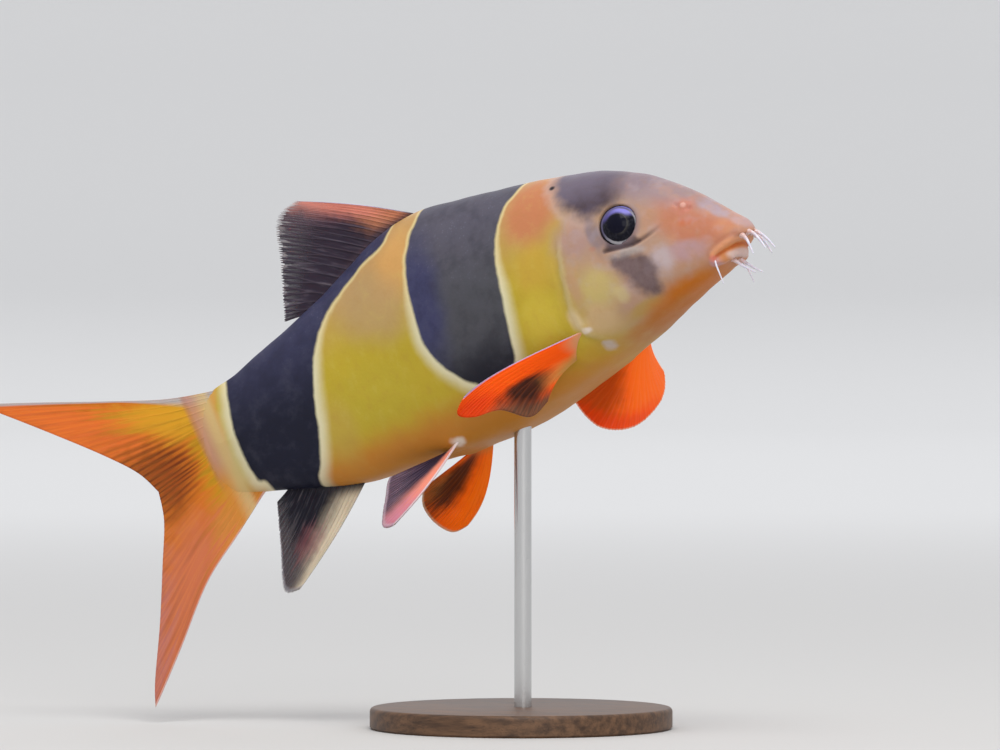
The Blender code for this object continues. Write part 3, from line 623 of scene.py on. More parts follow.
def fish_skin(finish):
    bm = bmesh.new()
    bmesh.ops.create_uvsphere(bm, u_segments=SKIN_SIDES, v_segments=SKIN_RINGS, radius=1.0)
    chosen = {vert for vert in bm.verts if near_eye(vert)}
    edges = [e for e in bm.edges if all(v in chosen for v in e.verts)]
    bmesh.ops.subdivide_edges(bm, edges=edges, cuts=1, use_grid_fill=True)
    number_by_place(bm.verts, lambda vert: tuple(vert.co))
    places = [station_and_angle(v) for v in bm.verts]

    def skin_at(shift, turn):
        return np.array([skin_point(min(max(s + shift, 0.0), LENGTH), a + turn) for s, a in places])

    spots = skin_at(0.0, 0.0)
    along = skin_at(STEP_ALONG, 0.0) - skin_at(-STEP_ALONG, 0.0)
    out = np.cross(skin_at(0.0, STEP_ROUND) - skin_at(0.0, -STEP_ROUND), along)
    out[:, 0] = np.where(np.linalg.norm(out, axis=1) < 1e-9, np.sign(spots[:, 0] - SKIN_MIDDLE[0]), out[:, 0])
    out /= np.linalg.norm(out, axis=1)[:, None]
    out *= np.where((out * (spots - SKIN_MIDDLE)).sum(1) < 0, -1, 1)[:, None]
    raised, distances = relief(spots)
    for vert, spot in zip(bm.verts, spots + out * raised[:, None]):
        vert.co = place(spot)
    turn_outwards(bm)
    skin = piece_from(bm, "fish_skin", finish,
                      ("head", "trunk", "tail_stalk", "lip_upper", "lip_lower"))
    straight = skin.data.attributes.new("straight", "FLOAT_VECTOR", "POINT")
    straight.data.foreach_set("vector", spots.astype(np.float32).ravel())
    for name, values in {**distances, **marking_distances(spots)}.items():
        add_numbers(skin.data, name, values)
    return skin


# %% [markdown]
# ## The finish of the skin
# The ground colour runs from yellow on the flank to pinkish tan on the back and orange-brown under
# the belly, and the head is pinkish mauve over orange. Over that lie soft patches, each an oval with
# its own place, size and colour, then the bands with their cream hems, and last the lines of the
# mouth, slit and gill. A painted picture could say the same, but it would stretch on belly and back,
# and ovals stay easy to move. A fine bump gives the tiny scales, and a little light passes into the skin.

# %% Patches of colour: station, up, half length, half height, tilt in degrees, colour, strength
PATCHES = [
    (40.0, 18.0, 6.5, 8.5, 0, (0.50, 0.185, 0.085), 0.95),    # salmon nape
    (40.5, 7.0, 5.5, 6.0, 0, (0.52, 0.33, 0.045), 0.8),       # golden behind the gill cover
    (41.5, -2.0, 5.0, 6.0, 0, (0.56, 0.42, 0.05), 0.7),
    (72.0, 18.0, 6.0, 9.0, 25, (0.60, 0.32, 0.10), 0.8),      # orange behind the middle band
    (79.0, 12.0, 12.0, 8.0, 30, (0.43, 0.28, 0.13), 0.75),    # pinkish tan flank
    (84.0, -4.0, 12.0, 8.0, 0, (0.44, 0.34, 0.032), 0.7),     # olive-yellow flank
    (93.0, -8.0, 5.0, 8.0, 0, (0.44, 0.30, 0.06), 0.6),
    (20.0, 2.0, 17.0, 20.0, 0, (0.42, 0.26, 0.18), 1.0),      # the head's ground
    (2.0, 0.0, 14.0, 14.0, 0, (0.46, 0.23, 0.15), 1.0),
    (13.0, 13.0, 13.0, 5.5, 38, (0.30, 0.21, 0.22), 0.95),    # mauve crown
    (17.0, 17.6, 6.5, 2.8, 25, (0.21, 0.165, 0.195), 0.8),    # greyer top of the head
    (9.0, 4.5, 10.5, 4.4, 38, (0.47, 0.175, 0.10), 0.9),      # salmon snout
    (5.0, 6.3, 4.5, 0.9, 41, (0.36, 0.30, 0.36), 0.75),       # painted highlight along the snout's top
    (1.0, 2.4, 2.2, 0.9, 45, (0.44, 0.35, 0.40), 0.5),        # painted highlight on the top of the snout's tip
    (3.5, 2.0, 3.0, 1.8, 30, (0.55, 0.22, 0.12), 0.7),
    (19.0, 16.6, 4.6, 5.2, 20, (0.235, 0.175, 0.20), 0.85),
    (10.0, 8.3, 2.6, 1.7, 35, (0.50, 0.18, 0.13), 0.7),       # round the nostrils
    (9.6, 5.4, 1.8, 0.9, 15, (0.52, 0.15, 0.07), 0.7),        # orange smudge below them
    (16.5, 8.2, 2.6, 2.2, 0, (0.42, 0.23, 0.15), 0.6),
    (11.0, 0.6, 4.2, 2.4, 20, (0.42, 0.26, 0.27), 0.9),       # lilac-pink jaw
    (15.6, 0.4, 2.8, 3.2, 0, (0.46, 0.38, 0.40), 0.8),        # pale cheek
    (21.5, 3.6, 4.0, 1.2, 5, (0.42, 0.37, 0.35), 0.8),        # grey-white under the slit
    (31.0, 9.0, 5.4, 5.4, 0, (0.38, 0.235, 0.215), 0.85),      # mauve behind the eye
    (26.6, 9.4, 1.7, 5.0, -10, (0.19, 0.155, 0.19), 0.75),    # grey shade round the eye
    (27.4, 6.2, 0.9, 0.7, 0, (0.44, 0.15, 0.10), 0.3),        # small reddish spot
    (28.5, -0.8, 4.8, 4.8, 0, (0.50, 0.39, 0.14), 0.85),      # yellow gill cover
    (25.0, -3.0, 2.0, 1.6, 0, (0.55, 0.45, 0.22), 0.6),
    (33.0, 1.5, 1.8, 5.0, 0, (0.46, 0.27, 0.16), 0.7),        # rose rear of the gill cover
    (30.5, -6.0, 4.0, 3.4, 0, (0.54, 0.37, 0.20), 0.8),
    (22.0, -6.4, 5.0, 1.7, -15, (0.42, 0.27, 0.06), 0.7),     # olive-yellow below the dark patch
    (14.0, -6.9, 10.5, 3.8, -14, (0.50, 0.135, 0.003), 0.97),  # orange throat
    (23.0, -10.4, 12.0, 2.8, -17, (0.42, 0.13, 0.010), 0.9),
    (33.5, -6.9, 1.4, 0.8, 20, (0.74, 0.66, 0.64), 0.7),      # painted highlight on the flesh at the pectoral fin's root
    # white spot at the pelvic fin's root
    (70.2, -16.9, 1.8, 0.9, 0, (0.80, 0.70, 0.62), 0.85),
    # a second painted highlight in front of the pectoral fin's root
    (31.8, -10.3, 1.4, 0.8, -20, (0.50, 0.46, 0.50), 0.6),
    (35.0, -4.5, 1.9, 2.8, 0, (0.64, 0.48, 0.28), 0.75),
]
BLACK_DOT = (35.7, 20.9, 0.75, 0.5, 20, (0.02, 0.015, 0.02), 1.0)
FLANK_YELLOW, BACK_TAN, BELLY_BROWN = (0.46, 0.34, 0.028), (0.46, 0.27, 0.10), (0.50, 0.20, 0.028)
# the bands' slate, and their top with a painted sheen of the light from above; BAND_DEEP is painted shade below and
# dark mottle
BAND_SLATE, BAND_LIT_TOP = (0.068, 0.068, 0.078), (0.088, 0.082, 0.108)
BAND_BLUE, BAND_DEEP = (0.042, 0.043, 0.108), (0.012, 0.012, 0.020)
BLUE_SHEEN = (67.5, 9.0, 7.0, 16.0, 0, BAND_BLUE, 0.9)
CREAM, WHITISH = (0.70, 0.58, 0.28), (0.68, 0.64, 0.44)
# the root of the tail fin leans: its lines run at station minus this share of up
ROOT_LEAN, HEM_END, ROOT_CREASE = 0.15, 117.5, 122.1


# %% How an oval patch covers the surface
OVAL_RIM, OVAL_FULL = 1.15, 0.35


def oval(f, along, up, patch):
    """How strongly an oval patch covers the surface: full in its middle and gone at its rim."""
    station, height, half_length, half_height, tilt, _, strength = patch
    c, s = math.cos(math.radians(tilt)), math.sin(math.radians(tilt))
    x, y = along - station, up - height
    a = x * (c / half_length) + y * (s / half_length)
    b = x * (-s / half_height) + y * (c / half_height)
    return f.fade(f.math("SQRT", a**2.0 + b**2.0), OVAL_RIM, OVAL_FULL) * strength


def lay(f, colour, along, up, patch):
    return f.mix(oval(f, along, up, patch), colour, patch[5])


# %% The root of the tail
def tail_root(f, colour, station, up):
    """The band of pink skin between the rear band's hem and the crease where the tail's rays begin."""
    along = station - up * ROOT_LEAN
    pink = f.fade(along, HEM_END - 0.9, HEM_END + 0.7) * f.fade(along, ROOT_CREASE + 0.9, ROOT_CREASE - 0.9)
    tone = f.mix(f.fade(up, -10.0, -4.0), (0.56, 0.23, 0.04), (0.47, 0.24, 0.18))
    tone = f.mix(f.fade(along, HEM_END + 0.8, ROOT_CREASE - 0.6), (0.58, 0.43, 0.20), tone)
    colour = f.mix(pink * 0.8, colour, tone)
    crease = f.fade(abs(along - ROOT_CREASE), 0.9, 0.0) * (f.fade(up, -12.0, -8.0) * 0.35)
    return f.mix(crease, colour, (0.36, 0.13, 0.07))


# %% Flecks on flank and head, the eye band and the patch on the cheek
def skin_flecks(f, colour, station, up):
    grained = f.noise(2400.0, 5.0, 0.6, f.scaled((1.0, 1.0, 0.8), f.spots("straight", "Vector")))
    on_flank = f.fade(station, 32.0, 40.0) * f.fade(up, -13.0, -7.0)
    colour = f.mix(f.fade(grained, 0.5, 0.75) * (0.06 + on_flank * 0.10), colour, (0.56, 0.45, 0.12))
    colour = f.mix(f.fade(grained, 0.5, 0.28) * 0.16, colour, (0.38, 0.20, 0.045))
    on_head = f.fade(station, 38.0, 30.0) * f.fade(up, -6.0, -2.0)
    freckles = f.fade(f.noise(2.8), 0.42, 0.72) * on_head
    tone = f.mix(f.fade(f.noise(3.5), 0.45, 0.6), (0.46, 0.38, 0.41), (0.58, 0.30, 0.17))
    return f.mix(freckles * 0.22, colour, tone)


def head_markings(f, colour, station, up, mottle):
    """The eye band, soft towards the snout and pale along its rear, and the patch on the cheek."""
    ragged = f.wander(2.0, 2.0, 1.8)
    band_edge = f.spots("eye_band") + ragged
    colour = f.mix(f.fade(band_edge, -2.6, -0.6) * f.fade(station, 24.0, 29.0) * 0.5, colour, (0.50, 0.35, 0.32))
    violet = f.mix(f.fade(mottle, 0.3, 0.7), (0.045, 0.032, 0.050), (0.068, 0.055, 0.090))
    violet = f.mix(f.fade(up, 14.0, 20.0) * 0.6, violet, (0.16, 0.14, 0.20))
    colour = f.mix(f.fade(band_edge, -1.2, 1.8) * f.fade(station, 17.5, 24.0) * 0.94, colour, violet)
    grey = f.mix(f.fade(mottle, 0.3, 0.7), (0.080, 0.052, 0.063), (0.135, 0.097, 0.112))
    return f.mix(f.fade(f.spots("cheek_patch") + ragged, -1.0, 1.2) * 0.85, colour, grey)


# %% The two great bands
def skin_bands(f, colour, station, up):
    """The two great bands: a pale hem, then near black with a blue sheen, painted paler on the back as a sheen
    of the light from above and darker below as painted shade. Also returns how dark the spot is."""
    fine = f.wander(2.6, 3.0, 0.7)
    nearest = f.math("MAXIMUM", f.spots("middle_band") + fine, f.spots("rear_band") + fine)
    low = f.fade(up, 18.0, 2.0)
    hem = f.fade(nearest, -1.0 - low * 2.2, -0.1)
    colour = f.mix(hem * 0.85, colour, f.mix(low, CREAM, WHITISH))
    mottle = f.noise(3.5, 5.0, 0.6)
    # paler towards the back and darker below: a painted sheen of the light from above and painted shade underneath
    slate = f.mix(f.fade(up, 6.0, 22.0), BAND_SLATE, BAND_LIT_TOP)
    slate = f.mix(f.fade(up, 2.0, -9.0), slate, BAND_DEEP)
    slate = lay(f, slate, station, up, BLUE_SHEEN)
    # the rear band's navy is painted lighter higher up, a painted sheen of the light from above
    navy = f.mix(f.fade(up, -4.0, 18.0), (0.010, 0.011, 0.024), (0.040, 0.040, 0.088))
    slate = f.mix(f.fade(station, 72.0, 76.0), slate, navy)
    slate = f.mix(f.fade(mottle, 0.55, 0.3) * 0.25, slate, BAND_DEEP)
    slate = f.mix(f.fade(mottle, 0.45, 0.75) * 0.13, slate, (0.12, 0.12, 0.155))
    speckle = f.fade(f.cells(0.7), 0.35, 0.1) * (f.fade(mottle, 0.4, 0.7) * f.fade(up, 2.0, 20.0))
    slate = f.mix(speckle * 0.2, slate, (0.22, 0.22, 0.30))
    dark = f.fade(nearest, -0.35, 0.5)
    return f.mix(dark, colour, slate), dark


# %% The lines of gill, slit, eye and mouth
def skin_lines(f, colour, station, up):
    """The pale edge of the gill cover, and painted shade: in the slit, in the hollow corner below the eye, and round
    the eye's socket.
    """
    gill = f.spots("gill_away") + f.wander(2.0, 3.0, 1.2)
    gill = f.fade(abs(gill - 0.3), 1.1, 0.1) * 0.32 * (f.fade(up, -11.0, -7.0) * f.fade(up, 12.0, 7.0))
    colour = f.mix(gill, colour, (0.68, 0.56, 0.33))
    # the slit and the hollow corner below the eye are painted dark: painted shade in the groove and the hollow
    slit = f.fade(f.spots("slit_away"), 0.6, 0.1) * f.fade(station, 13.5, 18.0)
    colour = f.mix(slit * 0.6, colour, (0.085, 0.045, 0.045))
    colour = f.mix(f.fade(f.spots("shaded_eye_corner"), -0.7, 0.6) * 0.85, colour, (0.055, 0.034, 0.038))
    eye = f.spots("eye_away")
    # a grey ring and a near-black ring round the eye, heavier below and in front: painted shade in the eye's socket
    below = (EYE_STATION - station) * 0.7 + (EYE_HEIGHT - up)
    rim = 0.2 + f.fade(below, -3.0, 1.5) * 0.7
    colour = f.mix(f.fade(eye, 5.2, 3.6) * (rim - 0.15), colour, (0.17, 0.13, 0.16))
    colour = f.mix(f.fade(eye, 3.95, 3.4) * rim, colour, (0.020, 0.014, 0.022))
    return f.mix(f.fade(f.spots("flap_away"), 0.75, 0.3) * 0.6, colour, (0.72, 0.42, 0.36))


def mouth_lines(f, colour, station):
    """The skin between the lips, painted shade in the groove above the upper lip, the two lips, the dark line of the
    mouth and its reddish corner.
    """
    upper, lower, mouth = f.spots("upper_lip_away"), f.spots("lower_lip_away"), f.spots("mouth_away")
    # a thin darker line in the groove above the upper lip: painted shade
    crease = f.fade(abs(upper - 1.1), 0.5, 0.1)
    colour = f.mix(crease * (f.fade(station, 9.0, 7.0) * 0.2), colour, (0.38, 0.12, 0.05))
    colour = f.mix(f.fade(mouth, 1.3, 0.6) * f.fade(station, 8.0, 6.6) * 0.8, colour, (0.62, 0.20, 0.035))
    colour = f.mix(f.fade(upper, 0.95, 0.35) * 0.75, colour, (0.62, 0.28, 0.14))
    lip = f.mix(f.fade(station, 4.4, 5.4), (0.66, 0.48, 0.43), (0.58, 0.24, 0.10))
    lip = f.mix(f.fade(station, 5.6, 7.0), lip, (0.50, 0.27, 0.27))
    colour = f.mix(f.fade(lower, 1.4, 0.7) * 0.9, colour, lip)
    colour = f.mix(f.fade(mouth, 0.5, 0.15) * 0.7, colour, (0.50, 0.10, 0.02))
    return f.mix(f.fade(f.spots("mouth_corner_away"), 1.0, 0.2) * 0.65, colour, (0.70, 0.20, 0.14))


# %% The whole skin
def skin_finish():
    f = Finish("loach_skin")
    true_station, true_up = f.straight()
    station, up = true_station + f.wander(6.0, 2.5, 3.0), true_up + f.wander(5.0, 2.5, 2.5)
    colour = f.mix(f.fade(up, 3.0, 20.0), FLANK_YELLOW, BACK_TAN)
    colour = f.mix(f.fade(up, -7.5, -15.0), colour, BELLY_BROWN)
    for patch in PATCHES:
        colour = lay(f, colour, station, up, patch)
    colour = f.mix(f.fade(station, 116.5, 118.0), colour, (0.56, 0.30, 0.07))
    mottle = f.noise(2.6, 5.0, 0.6)
    colour = skin_flecks(f, colour, true_station, up)
    colour = head_markings(f, colour, station, up, mottle)
    colour = lay(f, colour, true_station, true_up, BLACK_DOT)
    colour = tail_root(f, colour, true_station, true_up)
    colour, dark = skin_bands(f, colour, station, up)
    colour = mouth_lines(f, skin_lines(f, colour, true_station, up), true_station)
    f.bump(f.cells(0.55, feature="SMOOTH_F1") + f.noise(0.8, 3.0) * 0.6, 0.16, 0.12)
    return f.set(
        Base_Color=colour, Roughness=0.36 + (dark * 0.12 + mottle * 0.16), Specular_IOR_Level=0.12,
        Coat_Weight=0.04, Coat_Roughness=0.25,
        Subsurface_Weight=0.1, Subsurface_Radius=(1.0, 0.45, 0.25), Subsurface_Scale=0.0014)


skin = fish_skin(skin_finish())

# %% [markdown]
# ## The eyes
# A loach's eye is a dark ball behind clear cornea: a navy pupil, a thin gold line round it, a grey
# iris, and a silver ring at its rim. A violet-blue crescent over the iris's top is a painted reflection of
# the light. Discs set into one another could give the rings, but they would show edges. Each eye is one
# ball instead, turned so that its pole looks straight out of the head. Every vertex knows its distance from
# the pupil, and the rings of colour follow from it. The ball bulges a little over the pupil, and a clear coat gives
# the wet gleam.

# %% Finish of the eyes
PUPIL_RADIUS, IRIS_RADIUS, BALL_RADIUS = 1.8, 3.05, 3.55


def eye_finish():
    f = Finish("loach_eye")
    out = f.spots("from_pupil") + f.wander(0.8, 3.0, 0.2)
    top, ahead = f.spots("eye_top"), f.spots("eye_ahead")
    iris = f.mix(f.fade(f.noise(0.45, 4.0), 0.4, 0.7), (0.004, 0.004, 0.009), (0.016, 0.016, 0.024))
    gold = f.fade(out, PUPIL_RADIUS + 0.5, PUPIL_RADIUS) * f.fade(ahead, -0.4, 1.2)
    colour = f.mix(gold * 0.3, iris, (0.10, 0.09, 0.075))
    # a painted reflection of the light over the iris's top, brighter towards the front
    reflection_crescent = f.fade(top, 0.2, 1.5) * f.fade(out, PUPIL_RADIUS - 0.05, PUPIL_RADIUS + 0.7)
    sheen = f.mix(f.fade(ahead, -1.6, 1.6), (0.075, 0.060, 0.21), (0.22, 0.20, 0.58))
    colour = f.mix(reflection_crescent, colour, sheen)
    silver = f.fade(out, IRIS_RADIUS - 0.1, IRIS_RADIUS + 0.1) * f.fade(out, BALL_RADIUS, BALL_RADIUS - 0.2)
    ring = f.mix(f.fade(ahead * 0.6 - top, -1.0, 2.6), (0.10, 0.09, 0.17), (0.40, 0.39, 0.42))
    colour = f.mix(silver * 0.95, colour, ring)
    colour = f.mix(f.fade(out, BALL_RADIUS - 0.05, BALL_RADIUS + 0.1), colour, (0.016, 0.011, 0.016))
    colour = f.mix(f.fade(out, PUPIL_RADIUS + 0.05, PUPIL_RADIUS - 0.1), colour, (0.003, 0.003, 0.011))
    return f.set(Base_Color=colour, Roughness=0.3, Specular_IOR_Level=0.05, Coat_Weight=0.12, Coat_Roughness=0.03)


# %% The two eyes
SIDES = ((1, "left"), (-1, "right"))
PUPIL_SHIFT, FAR_AWAY = (0.42, -0.42), 9.0
CORNEA_BULGE, CORNEA_WIDTH = 0.02, 2.2


def eye(side, word, finish):
    spot, out = side_of_body(EYE_STATION, EYE_HEIGHT, side), outward(EYE_STATION, EYE_HEIGHT, side)
    centre = place(spot - out * EYE_SUNK)
    axis = (place(spot + out) - place(spot)).normalized()
    up = (place(spot + Vector((0, 0, 1))) - place(spot))
    up = (up - axis * up.dot(axis)).normalized()
    bm = bmesh.new()
    bmesh.ops.create_uvsphere(bm, u_segments=64, v_segments=48, radius=EYE_RADIUS * MM)
    turn = Matrix((up.cross(axis), up, axis)).transposed().to_4x4()
    forward, down = -side * PUPIL_SHIFT[0] * MM, PUPIL_SHIFT[1] * MM
    from_pupil = [math.hypot(v.co.x - forward, v.co.y - down) / MM if v.co.z > 0 else FAR_AWAY for v in bm.verts]
    numbers = {"from_pupil": from_pupil, "eye_top": [v.co.y / MM for v in bm.verts],
               "eye_ahead": [-side * v.co.x / MM for v in bm.verts]}
    for vert, away in zip(bm.verts, from_pupil):
        vert.co *= 1 + CORNEA_BULGE * math.exp(-((away / CORNEA_WIDTH) ** 2))
    bmesh.ops.transform(bm, matrix=Matrix.Translation(centre) @ turn, verts=bm.verts)
    turn_outwards(bm)
    ball = piece_from(bm, f"loach_eye_{word}", finish, (f"eye_{word}",))
    for number, values in numbers.items():
        add_numbers(ball.data, number, values)


wet_eye = eye_finish()
for side, word in SIDES:
    eye(side, word, wet_eye)

# %% [markdown]
# ## The barbels
# Four pairs of barbels hang round the mouth: thin, pale, fleshy feelers. A curve with a round bevel
# could make them, but its ends would be flat. A sphere pulled out along a curve gives a closed tube with
# round ends. Its root flares like a tree's, so it seems to grow from the lip.

# %% Barbels
BARBELS = [
    ("barbel_snout_inner", 0.46,
     [(1.4, 0.8, 0.3), (0.3, 0.9, 0.0), (-0.7, 1.1, -0.9), (-1.6, 1.4, -2.4), (-2.3, 1.6, -4.0)]),
    ("barbel_snout_outer", 0.42,
     [(1.9, 1.9, 0.1), (1.0, 2.2, -0.6), (0.3, 2.6, -1.6), (-0.1, 2.9, -2.9), (-0.4, 3.1, -4.4)]),
    ("barbel_mouth_corner", 0.30,
     [(7.5, 3.2, -1.8), (7.1, 3.8, -2.3), (6.9, 4.5, -3.7), (6.5, 4.9, -5.6), (6.2, 5.0, -7.8)]),
    ("barbel_chin", 0.42,
     [(5.8, 1.0, -3.0), (5.0, 1.1, -3.8), (4.0, 1.2, -4.9), (2.8, 1.2, -6.1), (1.4, 1.2, -7.3)]),
]
# the tip's share of the radius, how much the root flares, over which share of the length, and how long the
# rounding of each end is
BARBEL_TIP, FLARE, FLARE_LENGTH, END_ROUNDING = 0.28, 0.8, 0.22, 0.03


def barbel_finish():
    f = Finish("pale_barbel")
    colour = f.mix(f.fade(f.spots("along_barbel"), 0.2, 0.6), (0.60, 0.36, 0.30), (0.60, 0.58, 0.68))
    colour = f.mix(f.fade(f.noise(0.6), 0.4, 0.7) * 0.5, colour, (0.80, 0.78, 0.84))
    f.bump(f.noise(0.35, 3.0), 0.2, 0.05)
    return f.set(
        Base_Color=colour, Roughness=0.38, Coat_Weight=0.2, Coat_Roughness=0.2,
        Subsurface_Weight=0.25, Subsurface_Radius=(1.0, 0.6, 0.5), Subsurface_Scale=0.0008)


def swept_tube(path, radius_at, sides, rings):
    """A closed tube with round ends: a sphere whose rings are strung along a path in the world."""
    bm = bmesh.new()
    bmesh.ops.create_uvsphere(bm, u_segments=sides, v_segments=rings, radius=1.0)
    shares = []
    for vert in bm.verts:
        share = math.acos(max(-1.0, min(1.0, vert.co.z))) / math.pi
        spot = Vector(curve_through(path, share))
        ahead, behind = (Vector(curve_through(path, at)) for at in (min(share + 0.02, 1.0), max(share - 0.02, 0.0)))
        turn = (ahead - behind).to_track_quat("Z", "Y")
        flat = Vector((vert.co.x, vert.co.y, 0.0))
        flat = flat.normalized() if flat.length > 1e-6 else flat
        near_end = min(share, 1 - share) / END_ROUNDING
        rounding = math.sqrt(1 - (1 - min(near_end, 1.0)) ** 2)
        vert.co = spot + turn @ flat * radius_at(share) * rounding
        shares.append(share)
    turn_outwards(bm)
    return bm, shares


def barbel_radius(share, radius):
    return radius * MM * (1 - (1 - BARBEL_TIP) * share) * (1 + FLARE * math.exp(-((share / FLARE_LENGTH) ** 2)))


pale = barbel_finish()
for base_name, radius, points in BARBELS:
    for side, word in SIDES:
        path = [tuple(place((s, a * side, u))) for s, a, u in points]
        bm, shares = swept_tube(path, lambda share: barbel_radius(share, radius), 20, 44)
        barbel = piece_from(bm, f"fine_{base_name}_{word}", pale, (f"{base_name}_{word}",))
        add_numbers(barbel.data, "along_barbel", shares)

# %% [markdown]
# ## The fins
# A fin is a sheet of skin held open by bony rays, which fork twice on their way to the edge. The CAD
# model has each fin as a ridged solid. Here the same outline gets a much finer grid: share runs across
# the rays and reach runs along them. Each ray is a ridge of real thickness, the skin between is thin,
# and at the edge it is torn back a little between the tips. Solidify turns the sheet into a closed fin.

# %% How rays fork
FORK_ONE, FORK_TWO = (0.38, 0.78), (0.68, 1.0)
SPREAD_ONE, SPREAD_TWO = 0.23, 0.11


def ray_ridge(row, reach):
    """1 on the middle of a ray and 0 between rays. Row counts the rays, and each forks in two places."""
    off = abs(row - round(row))
    off = abs(off - SPREAD_ONE * float(smooth_step(reach, *FORK_ONE)))
    off = abs(off - SPREAD_TWO * float(smooth_step(reach, *FORK_TWO)))
    return math.exp(-((off / (0.15 - 0.09 * reach)) ** 2))


# columns between two rays and rows along them; how much a ray thins, the thinnest skin, and the shares of
# the reach and of the width in which the root is thicker and the corners are rounded
COLUMNS_PER_GAP, FIN_ROWS = 16, 52
RAY_TAPER, THINNEST, ROOT_REACH, CORNER_SHARE = 0.62, 0.08, 0.14, 0.16


def fin_sheet(name, ray_at, count, finish, replaced, sizes, tear, corners=(0.0, 0.0)):
    """One fin from a function that gives its point at a share across it and out along it.
    Tear is how deep its edge is frayed, and corners how far its first and last ray are drawn in."""
    columns = COLUMNS_PER_GAP * (count - 1)
    root, ray, web = sizes
    bm = bmesh.new()
    bmesh.ops.create_grid(bm, x_segments=columns, y_segments=FIN_ROWS, size=0.5, calc_uvs=False)
    layer = bm.verts.layers.deform.verify()
    rays_layer = bm.verts.layers.float.new("ray_row")
    reach_layer = bm.verts.layers.float.new("ray_reach")
    straight_layer = bm.verts.layers.float_vector.new("straight")
    for vert in bm.verts:
        share = round((vert.co.x + 0.5) * columns) / columns
        reach = min(max(vert.co.y + 0.5, 0.0), 1.0)
        row = share * (count - 1)
        ragged = 0.5 + 0.5 * wave_noise(Vector((row * 1.7, 3.1, len(name) * 0.7)))
        cut_back = tear * (1 - ray_ridge(row, 1.0)) * (0.35 + ragged) * smooth_step(reach, 0.8, 1.0)
        vert[rays_layer], vert[reach_layer] = row, reach
        thick = web + (ray * (1 - RAY_TAPER * reach) - web) * ray_ridge(row, reach)
        thick = max(thick, root * (1 - float(smooth_step(reach, 0.0, ROOT_REACH))))
        vert[layer][0] = min(max(thick, THINNEST) / root, 1.0)
        drawn_in = sum(most * max(1 - from_edge / CORNER_SHARE, 0.0) ** 2
                       for most, from_edge in zip(corners, (share, 1 - share)))
        vert[straight_layer] = ray_at(share, reach * (1 - float(cut_back) - drawn_in))
        vert.co = place(vert[straight_layer])
    bmesh.ops.recalc_face_normals(bm, faces=bm.faces)
    sheet = new_object("sheet", mesh_from(bm, name))
    sheet.vertex_groups.new(name="thickness")
    solid = sheet.modifiers.new("thickness", "SOLIDIFY")
    solid.thickness, solid.offset = root * MM, 0.0
    solid.vertex_group, solid.thickness_vertex_group = "thickness", 0.0
    bpy.context.view_layer.update()
    finished = bpy.data.meshes.new_from_object(sheet.evaluated_get(bpy.context.evaluated_depsgraph_get()))
    bpy.data.objects.remove(sheet)
    bm = bmesh.new()
    bm.from_mesh(finished)
    turn_outwards(bm)
    return piece_from(bm, name, finish, replaced)


# %% Shapes of the fins, close to the CAD model's: roots, tips and edges as station and up
DORSAL_ROOTS = [(66.2, 28.2), (77.5, 25.9), (93.0, 18.4)]
DORSAL_TIPS = [(91.7, 37.9), (96.3, 35.6), (98.0, 27.0), (100.3, 16.6)]
ANAL_ROOTS = [(92.0, -17.6), (106.5, -14.5)]
ANAL_TIPS = [(111.9, -32.7), (114.8, -31.9), (113.2, -24.0), (111.4, -15.6)]
TAIL_ROOTS_UPPER = [(115.8, 8.0), (118.6, 6.6), (120.3, 3.2), (120.8, -2.3)]
TAIL_EDGE_UPPER = [(115.8, 8.0), (127.4, 9.6), (139.0, 12.9), (150.6, 16.5), (162.3, 20.0)]
TAIL_TIPS_UPPER = [(162.3, 20.0), (158.0, 16.7), (150.4, 10.7), (141.4, 3.3), (135.6, -2.2), (132.7, -6.9)]
TAIL_ROOTS_LOWER = [(114.6, -12.2), (118.2, -10.6), (120.0, -7.0), (120.8, -2.3)]
TAIL_EDGE_LOWER = [(114.6, -12.2), (121.8, -18.9), (129.6, -26.2), (137.3, -36.8), (144.2, -46.0)]
TAIL_TIPS_LOWER = [(144.2, -46.0), (142.9, -41.0), (139.2, -31.0), (135.8, -20.7), (133.2, -12.6), (132.7, -6.9)]
TAIL_WAVE, ROOT_SUNK = 1.6, 2.2
# The paired fins: roots as station and up, rays as how far they go back, out and down, and their bow.
# The left pectoral is spread wide, and the right one is half folded back.
PECTORAL_ROOTS = [(34.2, -6.9), (38.2, -10.8)]
LEFT_PECTORAL_RAYS = [(9.8, 17.3, 6.8), (12.0, 17.7, 10.3), (15.1, 14.5, 12.2), (17.0, 8.6, 9.8), (16.8, 3.0, 3.4)]
LEFT_PECTORAL_BOW = [(0.0, -2.0, 0.2), (0.0, 0.3, 0.3)]
RIGHT_PECTORAL_RAYS = [
    (20.7, 16.9, 6.4), (21.3, 17.1, 8.2), (18.5, 14.8, 8.3), (13.9, 11.2, 7.2), (9.7, 7.6, 8.8), (6.4, 5.2, 6.6),
]
RIGHT_PECTORAL_BOW = [(3.5, 1.6, -0.4), (0.5, 0.5, -0.5)]
PELVIC_ROOTS = [(69.9, -16.7), (73.4, -17.7)]
LEFT_PELVIC_RAYS = [(13.8, 10.1, 12.5), (15.4, 9.1, 12.4), (15.9, 7.1, 9.8), (15.0, 4.6, 6.4), (12.6, 2.4, 3.4)]
LEFT_PELVIC_BOW = [(1.0, 3.0, 1.8), (0.0, 0.0, 0.0)]
RIGHT_PELVIC_RAYS = [(15.2, 9.4, 12.5), (16.6, 8.8, 11.5), (15.8, 7.1, 8.7), (14.3, 4.8, 4.9), (13.4, 2.6, 1.4)]
RIGHT_PELVIC_BOW = [(-0.9, 0.5, 0.5), (0.0, 0.0, 0.0)]


def flat_point(pair):
    return Vector((pair[0], 0.0, pair[1]))


